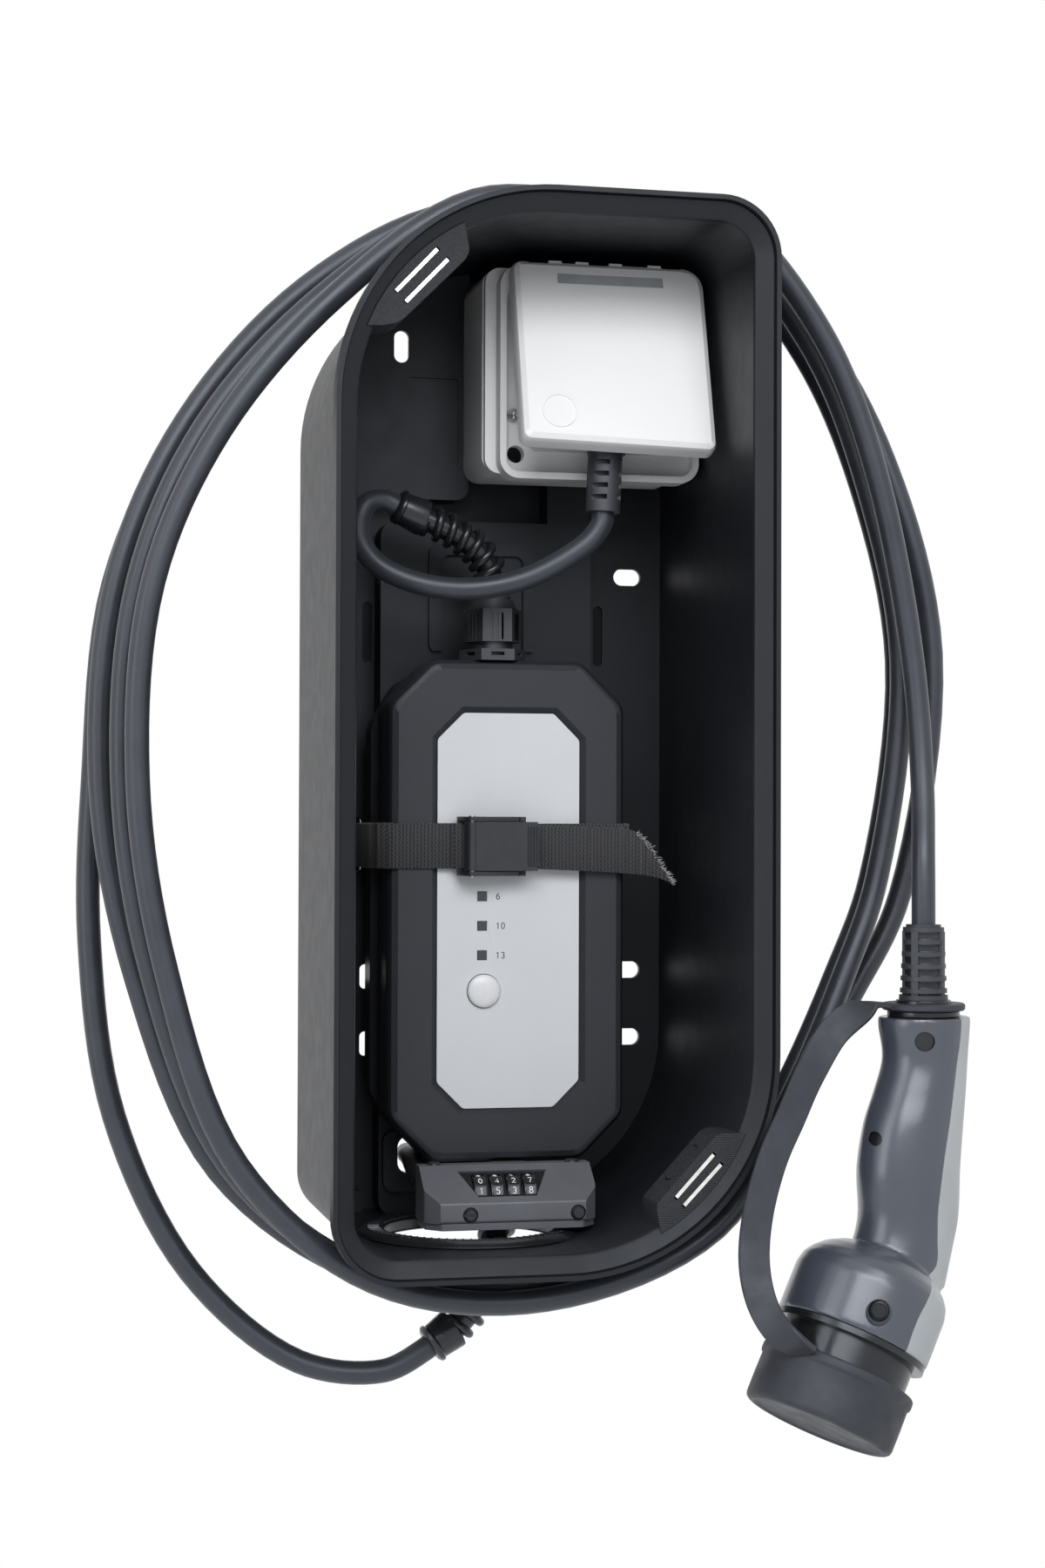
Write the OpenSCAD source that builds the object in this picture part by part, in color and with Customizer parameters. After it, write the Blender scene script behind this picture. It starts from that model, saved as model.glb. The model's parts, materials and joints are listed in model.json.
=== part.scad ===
// Wall-mounted holder for a portable vehicle charger.
// An open leaf-shaped shell carries a surface socket, the charger's control box on a strap,
// a four-dial cable lock and, hung around the outside, the coiled charging cable with its connector.
// Units are millimetres, +Z is up, the wall is the plane y = 0 and the opening faces -Y.

/* [Shell] */
// Width over the front rim
rim_w = 192.2; // [180:0.2:210]
// Height over the front rim
rim_h = 460; // [430:1:480]
// Depth from the wall to the front lip
shell_d = 160; // [140:1:180]
// Flare of the rim beyond the inner wall face
flare = 10.1; // [6:0.1:12]
// Wall thickness of the moulding
wall = 2.8; // [2.4:0.1:3.6]
// Thickness of the back panel
back_t = 3; // [2.4:0.1:4]
// Rim corner radius, top left
r_top_left = 94; // [60:1:110]
// Rim corner radius, top right
r_top_right = 26; // [20:1:40]
// Rim corner radius, bottom right
r_bottom_right = 92; // [60:1:100]
// Rim corner radius, bottom left
r_bottom_left = 28; // [20:1:40]
// Front face of the raised platform, measured from the wall
platform_d = 20; // [16:0.5:24]
// Height of the shell's middle above the middle of the wall slots
mid_z = 14.3; // [10:0.1:20]

/* [Wall slots] */
// Distance between the left and the right slots
slot_dx = 139.2; // [130:0.2:150]
// Distance between the upper and the lower slots
slot_dz = 189; // [180:0.5:200]
// Length of a slot, end to end
slot_len = 13.5; // [10:0.5:18]
// Width of a slot
slot_w = 8; // [6:0.5:10]

/* [Floor hole] */
// Centre of the floor hole, left to right
hole_x = -24; // [-30:0.5:-15]
// Centre of the floor hole, in front of the wall
hole_y = -85; // [-95:0.5:-75]
// Radius of the hole in the floor
hole_r = 39; // [34:0.5:42]

/* [Charger] */
// Middle of the control box, left to right
box_x = -2.4; // [-6:0.1:2]
// Middle of the control box, height in the shell
box_z = -78; // [-84:0.5:-70]
// Half width of the front half
box_hw = 55; // [50:0.5:60]
// Half height of the front half
box_hh = 113.5; // [105:0.5:120]
// Front face of the control box, measured from the wall
box_d = 66; // [60:0.5:72]
// Joint between the two halves, measured from the wall
parting_d = 39; // [34:0.5:44]
// Radius of the push button
button_r = 7.6; // [6:0.1:9]
// Travel of the push button
button_travel = 1.2; // [0.8:0.1:2]

/* [Socket] */
// Middle of the socket, left to right
sock_x = 38; // [34:0.5:42]
// Middle of the socket, height in the shell
sock_z = 165; // [160:0.5:170]
// Depth of the back box in front of the platform
sock_box_d = 42; // [36:0.5:48]
// Angle at which the lid rests on the plug
lid_rest = 16; // [12:0.5:20]

/* [Cable] */
// Diameter of the charging cable
cable_d = 10.4; // [9:0.1:12]
// Diameter of the mains lead
lead_d = 10; // [8:0.1:11]

/* [Lock] */
// Radius of a number dial
dial_r = 8; // [7:0.1:9]
// Distance between two dials
dial_pitch = 7.4; // [7:0.1:8]
// Left end of the lock body
lock_x0 = -48; // [-52:0.5:-44]
// Length of the lock body
lock_len = 77; // [70:0.5:82]

/* [Connector] */
// Distance of the connector's middle plane from the wall
conn_d = 150; // [140:1:156]
// Lean of the connector's nose from straight down
nose_lean = 29.2; // [15:0.1:35]
// Turn of the connector's middle plane away from the wall's
conn_turn = 22.9; // [0:0.1:45]

/* [View] */
// Part to draw

/* [Hidden] */
$fn = 96;

in_hw = rim_w / 2 - flare;
in_hh = rim_h / 2 - flare;
floor_z = -in_hh;
plat_y = -platform_d;
box_front = -box_d;
part_y = -parting_d;
conn_y = -conn_d;
sock_front = plat_y - sock_box_d;

// Helpers

function unit(v) = v / norm(v);

// Child outline in the X-Z plane, solid from y = y0 towards the front down to y = y1
module slab(y0, y1) translate([0, y0, 0]) rotate([90, 0, 0]) linear_extrude(height = y0 - y1) children();

// Tangent points and centre of the arc that rounds corner b
function corner_bits(a, b, c, r) =
    let (u = unit(a - b), v = unit(c - b), half = acos(u * v) / 2, t = r / tan(half))
    [b + u * t, b + v * t, b + unit(u + v) * (r / sin(half))];

// Convex outline with every corner rounded by r
module rounded(points, r) {
    n = len(points);
    bits = [for (i = [0 : n - 1]) corner_bits(points[(i + n - 1) % n], points[i], points[(i + 1) % n], r)];
    polygon([for (b = bits) each [b[0], b[1]]]);
    for (b = bits) translate(b[2]) circle(r);
}

module rrect(x0, z0, x1, z1, r) rounded([[x0, z0], [x1, z0], [x1, z1], [x0, z1]], r);

// Corners of a rectangle cut at 45 degrees
function cut_corners(hw, hh, cut) = [[-hw + cut, -hh], [hw - cut, -hh], [hw, -hh + cut], [hw, hh - cut],
    [hw - cut, hh], [-hw + cut, hh], [-hw, hh - cut], [-hw, -hh + cut]];

module cut_rect(hw, hh, cut, r) rounded(cut_corners(hw, hh, cut), r);

// Block with eight flat sides; profile lists [inset from the outline, y] from the back to the front
module eight_sided(hw, hh, cut, profile) {
    diagonal = (hw + hh - cut) / sqrt(2);
    intersection_for(d = [[0, hw], [90, hh], [45, diagonal], [-45, diagonal]])
        rotate([0, d[0], 0]) translate([0, 0, -200]) linear_extrude(height = 400) polygon(concat(
            [for (p = profile) [d[1] - p[0], p[1]]],
            [for (i = [len(profile) - 1 : -1 : 0]) [profile[i][0] - d[1], profile[i][1]]]));
}

module slot_shape(x, z, w, h) {
    r = min(w, h) / 2;
    square_w = w - 2 * r;
    square_h = h - 2 * r;
    translate([x, z]) {
        translate([-w / 2 + (square_w > 0 ? r : 0), -h / 2 + (square_h > 0 ? r : 0)])
            square([square_w > 0 ? square_w : w, square_h > 0 ? square_h : h]);
        translate([-square_w / 2, -square_h / 2]) circle(r);
        translate([square_w / 2, square_h / 2]) circle(r);
    }
}

// Shell outline, inset from the rim's outer edge
module leaf(inset) {
    hw = rim_w / 2 - inset;
    hh = rim_h / 2 - inset;
    difference() {
        square([2 * hw, 2 * hh], center = true);
        corner_off(-1, 1, hw, hh, r_top_left - inset);
        corner_off(1, 1, hw, hh, r_top_right - inset);
        corner_off(1, -1, hw, hh, r_bottom_right - inset);
        corner_off(-1, -1, hw, hh, r_bottom_left - inset);
    }
}

module corner_off(sx, sz, hw, hh, r) difference() {
    translate([sx * (hw - r / 2 + 1), sz * (hh - r / 2 + 1)]) square([r + 2, r + 2], center = true);
    translate([sx * (hw - r), sz * (hh - r)]) circle(r, $fn = 180);
}

// Profile of [outward, y] points carried once around the shell's inner wall
module around(profile) {
    cz_tl = rim_h / 2 - r_top_left;
    cz_tr = rim_h / 2 - r_top_right;
    cz_br = -rim_h / 2 + r_bottom_right;
    cz_bl = -rim_h / 2 + r_bottom_left;
    cx_tl = -rim_w / 2 + r_top_left;
    cx_tr = rim_w / 2 - r_top_right;
    cx_br = rim_w / 2 - r_bottom_right;
    cx_bl = -rim_w / 2 + r_bottom_left;
    translate([in_hw, 0, cz_br]) linear_extrude(height = cz_tr - cz_br) polygon(profile);
    translate([-in_hw, 0, cz_bl]) linear_extrude(height = cz_tl - cz_bl) mirror([1, 0]) polygon(profile);
    translate([cx_tr, 0, in_hh]) rotate([0, -90, 0]) linear_extrude(height = cx_tr - cx_tl) polygon(profile);
    translate([cx_bl, 0, -in_hh]) rotate([0, 90, 0]) linear_extrude(height = cx_br - cx_bl) polygon(profile);
    around_corner(cx_tl, cz_tl, r_top_left - flare, 90, profile);
    around_corner(cx_tr, cz_tr, r_top_right - flare, 0, profile);
    around_corner(cx_br, cz_br, r_bottom_right - flare, 270, profile);
    around_corner(cx_bl, cz_bl, r_bottom_left - flare, 180, profile);
}

module around_corner(cx, cz, r, turn, profile) translate([cx, 0, cz]) rotate([90, 0, 0]) rotate([0, 0, turn])
    rotate_extrude(angle = 90, $fn = 180) polygon([for (p = profile) [r + p[0], -p[1]]]);

// Child built along +Z, moved to p and turned to point along d
module aim(p, d) {
    n = norm(d);
    translate(p) rotate([0, acos(d[2] / n), atan2(d[1], d[0])]) children();
}

module rod(p, q, r) aim(p, q - p) cylinder(h = norm(q - p), r = r);

// Round tube swept through points; side_dir is any direction the path never follows
module tube(path, r, sides, side_dir) {
    n = len(path);
    points = [for (i = [0 : n - 1])
        let (t = unit(path[min(i + 1, n - 1)] - path[max(i - 1, 0)]),
            a = unit(cross(t, side_dir)), b = cross(t, a))
        for (k = [0 : sides - 1]) path[i] + r * (cos(360 * k / sides) * a + sin(360 * k / sides) * b)];
    ends = [[for (k = [0 : sides - 1]) k], [for (k = [0 : sides - 1]) n * sides - 1 - k]];
    walls = [for (i = [0 : n - 2]) for (k = [0 : sides - 1])
        let (m = (k + 1) % sides, a = i * sides + k, b = i * sides + m, c = a + sides, d = b + sides)
        each [[a, c, b], [b, c, d]]];
    polyhedron(points, concat(ends, walls));
}

// Bend relief from its gland outwards: a core through the points, with a growing ring on each stretch
// after the bare ones
module relief(path, core_r, wire_r, bare) {
    for (i = [0 : len(path) - 2]) {
        rod(path[i], path[i + 1], core_r);
        if (i > 0) translate(path[i]) sphere(core_r + 0.3);
        if (i >= bare) aim((path[i] + path[i + 1]) / 2, path[i + 1] - path[i])
            ring(7.3 + 2 * i / (len(path) - 2), wire_r);
    }
}

module ring(r, half) rotate_extrude() polygon([
    [0, -half], [r - 0.9, -half], [r, -half + 0.9], [r, half - 0.9], [r - 0.9, half], [0, half]]);

module hex(r) polygon([for (k = [0 : 5]) r * [cos(60 * k), sin(60 * k)]]);

// Countersunk cross-head screw along +Z, head at the top
module screw(head_r, head_h, shank_r, length) difference() {
    union() {
        translate([0, 0, -head_h]) cylinder(h = head_h, r = head_r);
        translate([0, 0, -length]) cylinder(h = length - head_h + 0.1, r = shank_r);
    }
    for (a = [0, 90]) rotate([0, 0, a]) translate([-head_r * 0.6, -0.4, -head_h * 0.6])
        cube([head_r * 1.2, 0.8, head_h]);
}

// Shell

rim_profile = [
    [0, 0], [0, -151.6], [0.5, -152.9], [1.6, -153.8], [7.4, -157.2], [7.4, -156.4], [8, -156.4],
    [8, -shell_d], [flare, -shell_d], [flare, -151.5], [9.2, -150.4], [3.4, -147.6], [wall, -146.4],
    [wall, 0]
];

plat_x0 = -53.6;
plat_x1 = 47.2;
plat_z0 = -221.5;
plat_z1 = 103;
block_x1 = -12;
block_z0 = 113;

// Oval in the raised boss where the lock's cable goes in
eye_x = -40;
eye_z = -192.5;

module cavity(x0, z0, x1, z1) slab(1, plat_y + 2.6) rrect(x0, z0, x1, z1, 3);

module shell() in_place() color([0.13, 0.135, 0.145]) difference() {
    union() {
        around(rim_profile);
        slab(0, -back_t) leaf(flare - 1);
        slab(-1, plat_y) intersection() {
            rrect(plat_x0, plat_z0, plat_x1, plat_z1, 8);
            leaf(flare - 1.6);
        }
        slab(-1, plat_y) rrect(26, 85, plat_x1 - 0.8, 196, 6);
        slab(-1, plat_y) intersection() {
            rrect(-110, block_z0, block_x1, 260, 6);
            leaf(flare - 1.6);
        }
        // relief around the upper gland
        slab(plat_y + 1, plat_y - 2.2) difference() {
            rrect(-31, 40, 20, 93, 6);
            rrect(-25, 30, 14, 87, 4);
            translate([-40, 30]) square([80, 12]);
        }
        // boss around the eye of the lock's cable
        slab(plat_y + 1, plat_y - 4) rrect(-52, -209.5, -32, -181.5, 5);
        // ledge in the lower left corner
        slab(-1, -14) intersection() {
            rrect(-87.4, -222, -60, -210, 2);
            leaf(flare - 1.6);
        }
        // flat seat for the ring of the floor hole
        translate([hole_x, hole_y, floor_z - 1]) cylinder(h = 2.5, r = 45);
    }
    // coring of the raised areas, open at the back
    for (z = [-209.4 : 51.9 : 50]) cavity(plat_x0 + 2.6, z, -4.2, z + 49.9);
    slab(1, plat_y + 2.6) intersection() {
        rrect(-2.2, -209.4, plat_x1 - 2.6, -159.5, 3);
        leaf(flare + 2.6);
    }
    for (z = [-157.5 : 51.9 : 50]) cavity(-2.2, z, plat_x1 - 2.6, z + 49.9);
    cavity(28.6, 104, plat_x1 - 2.6, 147);
    cavity(28.6, 149, plat_x1 - 2.6, 193.4);
    slab(1, plat_y + 2.6) intersection() {
        rrect(-110, block_z0 + 2.6, -50.5, 150, 3);
        leaf(flare + 1);
    }
    cavity(-48.5, block_z0 + 2.6, block_x1 - 2.6, 150);
    slab(1, plat_y + 2.6) intersection() {
        rrect(-110, 152, block_x1 - 2.6, 230, 3);
        leaf(flare + 2.6);
    }
    // four horizontal wall slots and one more below
    slab(1, -back_t - 1) for (x = [-slot_dx / 2, slot_dx / 2])
        for (z = [-slot_dz / 2, slot_dz / 2]) slot_shape(x, z - mid_z, slot_len, slot_w);
    slab(1, -back_t - 1) slot_shape(slot_dx / 2, -141, slot_len, slot_w);
    // vertical slots
    slab(1, -back_t - 1) for (z = [-110.9, -142.5]) slot_shape(-57.6, z, 5, 11.5);
    slab(1, plat_y - 1) slot_shape(-44.2, 184.2, 7, 15);
    slab(1, -back_t - 1) for (x = [-57.2, 55]) slot_shape(x, 51.5, 4.6, 29);
    // openings and back channel of the strap
    slab(1, -back_t - 1) for (x = [-62, 57.2]) slot_shape(x, -48.7, 4.6, 26);
    slab(1, -2) translate([-64.3, -60.5]) square([123.8, 23.6]);
    // hole in the floor and room above its seat for the ring
    translate([hole_x, hole_y, floor_z - 5]) cylinder(h = 12, r = hole_r);
    translate([hole_x, hole_y, floor_z + 1.5]) cylinder(h = 8, r = 44.9);
    // eye for the lock's cable
    slab(1, plat_y - 5) slot_shape(eye_x, eye_z, 10.6, 17.4);
    // plain pocket in the raised block and screw holes under the socket
    slab(plat_y + 1, plat_y - 1) rrect(-41, 128, -17, 170, 2);
    for (z = [130, 185]) translate([plat_x1 - 10.6, plat_y + 4, sock_z + (z - 157.5)]) rotate([90, 0, 0])
        cylinder(h = 6, r = 1.6);
}

// Corner inserts

insert_front = -155;
top_insert = [
    [-110, 167], [-76, 168.4], [-70.6, 169.6], [-67.5, 171.4], [-41, 197.8], [-39.6, 200.8], [-39.6, 203],
    [-41.6, 213], [-44, 240], [-110, 240]
];
bottom_insert = [
    [46.4, -240], [44.9, -211.9], [43, -201.8], [43.5, -199.1], [66.6, -173.8], [69, -171.4],
    [72.4, -170.2], [81.3, -170.5], [120, -177], [120, -240]
];
// Left end, slope and length of each bright strip
top_rows = [[[-70.4, 183], 46.6, 25.2], [[-66.3, 178.7], 46.3, 25.6]];
bottom_rows = [[[51.7, -197], 47.2, 24.1], [[55.2, -200.5], 46.3, 23.4]];

// Block in a corner of the shell; its front edge follows the slope of the rim
module insert(points, back) {
    slab(back, -153) insert_outline(points, flare);
    slab(-153, -153.8) insert_outline(points, flare - 0.5);
    slab(-153.8, -154.5) insert_outline(points, flare - 1.6);
    slab(-154.5, insert_front) insert_outline(points, flare - 2.7);
}

module insert_outline(points, inset) intersection() {
    polygon(points);
    leaf(inset);
}

// Bars along the rows, from y = y0 down to the front plane y = y1
module bars(rows, half_w, extra, y0, y1) for (row = rows)
    translate([row[0][0], 0, row[0][1]]) rotate([0, -row[1], 0]) translate([-extra, y1, -half_w])
        cube([row[2] + 2 * extra, y0 - y1, 2 * half_w]);

module corner_insert_top() in_place() color([0.2, 0.205, 0.22]) difference() {
    insert(top_insert, -132);
    bars(top_rows, 1.05, 0.7, -152.5, insert_front - 1);
}

module insert_strips_top() in_place() color([0.8, 0.81, 0.82]) bars(top_rows, 0.8, 0, -152.5, -154.7);

module corner_insert_bottom() in_place() color([0.2, 0.205, 0.22]) difference() {
    insert(bottom_insert, -132);
    bars(bottom_rows, 1.05, 0.9, -152.5, insert_front - 1);
    // oval groove in the inner side face
    translate([43.5, 0, -199.1]) rotate([0, -47.6, 0]) translate([20.6, -142, -1]) linear_extrude(height = 3)
        difference() {
            rounded([[-10, -5.6], [10, -5.6], [10, 5.6], [-10, 5.6]], 5);
            rounded([[-9, -4.6], [9, -4.6], [9, 4.6], [-9, 4.6]], 4);
        }
}

module insert_strips_bottom() in_place() color([0.8, 0.81, 0.82]) bars(bottom_rows, 0.8, 0, -152.5, -154.7);

// Floor ring

grommet_profile = [
    [36.4, -6.2], [37.2, -7], [42, -7], [43.2, -6], [43.2, -4], [42.6, -3.4], [hole_r - 0.05, -3.4],
    [hole_r - 0.05, 1.5], [43.6, 1.5], [44.6, 2.2], [44.6, 3.6], [43.4, 4.8], [38, 4.8], [36.4, 3.6]
];

module floor_grommet() in_place() color([0.09, 0.09, 0.095]) difference() {
    translate([hole_x, hole_y, floor_z]) rotate_extrude() polygon(grommet_profile);
    for (a = [0 : 15 : 345]) translate([hole_x, hole_y, floor_z + 4.4]) rotate([0, 0, a])
        translate([38.6, -0.5, 0]) cube([5, 1, 1]);
}

// Socket

box_l = -14.5;
box_r = 84;
box_b = 121;
box_t = 213.5;
hinge_y = -79;
hinge_z = 209;
lid_l = -6;
lid_r = 82.8;

// Screws of the socket's frame
frame_pts = [[-2, 146], [78, 186]];

module socket_box() in_place() color([0.86, 0.87, 0.88]) difference() {
    union() {
        difference() {
            slab(plat_y, sock_front) rrect(box_l, box_b, box_r, box_t, 7);
            slab(plat_y - 2.6, sock_front - 1) rrect(box_l + 2.4, box_b + 2.4, box_r - 2.4, box_t - 2.4, 5);
        }
        for (p = frame_pts) translate([p[0], plat_y - 1, p[1]]) rotate([90, 0, 0]) cylinder(h = 39, r = 4);
    }
    for (p = frame_pts) translate([p[0], -40, p[1]]) rotate([90, 0, 0]) cylinder(h = 30, r = 1.65);
    for (z = [137.5, 192.5]) translate([plat_x1 - 10.6, plat_y + 1, z]) rotate([90, 0, 0])
        cylinder(h = 8, r = 2.2);
    translate([sock_x, plat_y - 24, box_b - 1]) cylinder(h = 5, r = 6);
}

module socket_gasket() in_place() color([0.3, 0.31, 0.32]) slab(sock_front, sock_front - 1.5)
    difference() {
        rrect(box_l + 1, box_b + 1, box_r - 1, box_t - 1, 6);
        rrect(box_l + 4, box_b + 4, box_r - 4, box_t - 4, 4);
    }

frame_back = sock_front - 1.5;
frame_front = frame_back - 12.5;
frame_l = -9;
frame_b = 117;
frame_t = 213;

module socket_frame() in_place() color([0.87, 0.88, 0.89]) difference() {
    union() {
        slab(frame_back, frame_back - 3) rrect(box_l + 0.5, box_b - 1, box_r, box_t, 7);
        slab(frame_back, frame_front) rrect(frame_l, frame_b, box_r, frame_t, 9);
        // knuckles of the hinge
        for (x = [2, 30, 64]) translate([x, hinge_y, hinge_z]) rotate([0, 90, 0]) cylinder(h = 8, r = 3.4);
        for (x = [2, 30, 64]) translate([x, hinge_y, hinge_z - 3.4]) cube([8, 4, 6.8]);
    }
    // tray behind the lip and opening for the insert
    slab(frame_back - 6.5, frame_front - 1) rrect(frame_l + 3, frame_b + 3, box_r - 3, frame_t - 9, 6);
    slab(frame_back + 1, frame_front) rrect(sock_x - 33, sock_z - 35, sock_x + 33, sock_z + 33, 4);
    // running hole of the hinge pin and screw holes
    translate([0, hinge_y, hinge_z]) rotate([0, 90, 0]) cylinder(h = 80, r = 1.55);
    for (p = frame_pts) translate([p[0], 0, p[1]]) rotate([90, 0, 0]) cylinder(h = 90, r = 1.7);
    translate([-0.5, frame_back + 1, 128.5]) rotate([90, 0, 0]) cylinder(h = 12, r = 4);
}

module socket_insert() in_place() color([0.84, 0.85, 0.86]) difference() {
    union() {
        slab(frame_back, frame_back - 8) rrect(sock_x - 33, sock_z - 35, sock_x + 33, sock_z + 33, 4);
        translate([sock_x, -46, sock_z]) rotate([90, 0, 0]) cylinder(h = 20, r = 24);
        translate([sock_x, -30, sock_z]) rotate([90, 0, 0]) cylinder(h = 20, r = 19);
    }
    translate([sock_x, -54, sock_z]) rotate([90, 0, 0]) cylinder(h = 30, r = 21.2);
    for (x = [-9.5, 9.5]) translate([sock_x + x, -32.5, sock_z]) rotate([90, 0, 0]) cylinder(h = 30, r = 2.6);
    for (s = [-1, 1]) translate([sock_x - 3.1, -72, sock_z + s * 21.6 - 1.6]) cube([6.2, 18.2, 3.2]);
}

module earth_clips() in_place() color([0.78, 0.76, 0.7]) for (s = [-1, 1])
    translate([sock_x - 3, -70, sock_z + s * 22.7 - 0.5]) cube([6, 16, 1]);

// Lid in its closed place with the hinge axis as origin, turned to the angle at which it rests on the plug
module lid_place() translate([0, hinge_y, hinge_z]) rotate([-lid_rest, 0, 0]) children();

// The corner beside the shell's wall is rounder, so that the lid swings clear of it
module lid_outline(inset) intersection() {
    rounded([[lid_l + inset, -84.6 + inset], [lid_r - inset, -87.4 + inset], [lid_r - inset, 2.6 - inset],
        [lid_l + inset, 2.6 - inset]], 4 - inset / 2);
    rounded([[lid_l - 40, -120], [lid_r - inset, -120], [lid_r - inset, 2.6 - inset],
        [lid_l - 40, 2.6 - inset]], 10 - inset / 2);
}

module lid_inside(inset) polygon([[lid_l + inset, -84.6 + inset], [lid_r - inset, -87.4 + inset],
    [lid_r - inset, -7], [lid_r - 7 - inset, 2.6 - inset], [lid_l + inset, 2.6 - inset]]);

module socket_lid() in_place() color([0.93, 0.935, 0.94]) lid_place() difference() {
    union() {
        difference() {
            hull() {
                slab(0.4, -5.6) lid_outline(0, $fn = 32);
                slab(-7.7, -7.8) lid_outline(0.9, $fn = 32);
                slab(-9.1, -9.2) lid_outline(3, $fn = 32);
            }
            slab(1.4, -5.4) lid_inside(2);
            slab(-5.3, -7.2) lid_inside(3.4);
            // room for the frame's knuckles and a straight cut under the hinge
            for (x = [1.4, 29.4, 63.4]) translate([x, -8.2, -5]) cube([9.2, 12, 10]);
            slab(1.4, -1) translate([lid_l - 1, -2]) square([100, 8]);
        }
        for (x = [10.8, 23.2, 38.8, 56.8]) translate([x, 0, 0]) rotate([0, 90, 0]) cylinder(h = 6, r = 2.9);
        for (x = [10.8, 23.2, 38.8, 56.8]) translate([x, -8, -2.6]) cube([6, 7, 5.2]);
        translate([72.8, 0, 0]) rotate([0, 90, 0]) cylinder(h = 3.4, r = 2.9);
        translate([72.8, -8, -2.9]) cube([3.4, 7, 3.6]);
        translate([11, -9.2, -71]) rotate([90, 0, 0]) difference() {
            cylinder(h = 0.5, r = 8);
            translate([0, 0, -1]) cylinder(h = 2, r = 7.3);
        }
    }
    rotate([0, 90, 0]) cylinder(h = 90, r = 1.55);
    translate([45.2, 0, 0]) rotate([0, 90, 0]) cylinder(h = 11.2, r = 3.3);
    translate([14, -10, -9]) cube([49, 6, 5]);
}

module lid_window() in_place() color([0.8, 0.84, 0.86, 0.5]) lid_place()
    translate([14, -9, -9]) cube([49, 1.6, 5]);

module hinge_pin() in_place() color([0.75, 0.76, 0.77]) translate([2.2, hinge_y, hinge_z])
    rotate([0, 90, 0]) cylinder(h = 74.2, r = 1.5);

module hinge_spring() in_place() color([0.7, 0.71, 0.72]) for (k = [0 : 5])
    translate([46 + k * 1.9, hinge_y, hinge_z]) rotate([0, 90, 0]) spring_turn(k);

module spring_turn(k) {
    rotate_extrude($fn = 32) translate([2, 0]) circle(0.5, $fn = 16);
    if (k < 5) translate([0, 2, 0]) cylinder(h = 1.9, r = 0.45, $fn = 16);
}

module frame_screws() in_place() color([0.72, 0.73, 0.74]) for (p = frame_pts)
    translate([p[0], frame_back - 8.5, p[1]]) rotate([90, 0, 0]) screw(3, 2, 1.6, 24);

// Plug and lead

plug_x = 38;
lead_out = [35.6, -88, 101];

module mains_plug() in_place() color([0.16, 0.165, 0.175]) difference() {
    union() {
        translate([plug_x, -54.2, sock_z]) rotate([90, 0, 0]) cylinder(h = 31.8, r = 21);
        translate([plug_x, -86, sock_z]) rotate([90, 0, 0]) cylinder(h = 8.1, r1 = 21, r2 = 16.6);
        translate([plug_x - 0.6, -87.4, 149]) rotate([180, 0, 0]) cylinder(h = 22, r1 = 10.5, r2 = 8.6);
        rod([plug_x - 1.1, -87.5, 128], lead_out, 7.8);
    }
    for (k = [0 : 3]) for (s = [-1, 1]) translate([plug_x - 1.4 - k * 0.5 + s * 5.8, -100, 122 - k * 5.2])
        cube([6.4, 9, 2.2]);
    for (s = [-1, 1]) translate([plug_x - 3.1, -72, sock_z + s * 21.2 - 1.4]) cube([6.2, 19, 2.8]);
    for (x = [-9.5, 9.5]) translate([plug_x + x, -53, sock_z]) rotate([90, 0, 0]) cylinder(h = 12, r = 2.4);
}

module plug_pins() in_place() color([0.8, 0.7, 0.42]) for (x = [-9.5, 9.5])
    translate([plug_x + x, -35, sock_z]) rotate([90, 0, 0]) cylinder(h = 30, r = 2.4);

lead_path = [
    lead_out, [35.41, -88.07, 97], [31, -87.6, 89.6], [19.5, -86.6, 80.6], [0, -84.6, 70.6],
    [-24, -81, 66], [-47, -76.6, 68.6], [-64, -71.6, 77], [-71, -66.6, 88], [-70.8, -62.4, 98],
    [-66.4, -59.4, 105.4], [-58.55, -56.89, 107.43], [-53, -56.4, 105.2]
];

module mains_lead() in_place() color([0.3, 0.31, 0.34]) tube(lead_path, lead_d / 2, 12, [0, 1, 0]);

in_gland = [-7.3, -52, 35.5];
inlet_path = [
    [-7.3, -52, 65.4], [-7.3, -52, 71.6], [-9.6, -52.7, 78.6], [-13.6, -53.4, 84.6], [-18.8, -54, 89.4],
    [-24.6, -54.5, 93.2], [-30.8, -54.9, 96.2], [-39.5, -55.2, 99.8]
];

module inlet_relief() in_place() color([0.1, 0.1, 0.105]) {
    relief(inlet_path, 5.6, 1.7, 1);
    rod([-53, -56.4, 105.2], [-39.3, -55.2, 99.7], 9);
}

// Threaded gland standing on a wall, along +Z from its seat
module gland(seat_r) {
    difference() {
        union() {
            translate([0, 0, -9]) cylinder(h = 9.5, r = 7.9);
            linear_extrude(height = 5.2) hex(seat_r);
            translate([0, 0, 5]) cylinder(h = 4, r = 9.4);
            translate([0, 0, 8.6]) linear_extrude(height = 15) hex(13.6);
            translate([0, 0, 23.6]) cylinder(h = 4.4, r1 = 11.6, r2 = 9.4);
            translate([0, 0, 28]) cylinder(h = 1.9, r = 8.4);
            translate([0, 0, -5.8]) linear_extrude(height = 3) hex(9.6);
        }
        for (a = [0 : 60 : 300]) rotate([0, 0, a + 30]) translate([8, -3, 2.2]) cube([8, 6, 1.6]);
        for (a = [0 : 60 : 300]) rotate([0, 0, a + 30]) for (s = [-2.4, 0, 2.4])
            translate([11.4, s - 0.4, 9.6]) cube([2, 0.8, 12]);
    }
}

module inlet_gland() in_place() color([0.2, 0.205, 0.215]) translate(in_gland) gland(15.4);

// Control box

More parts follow.
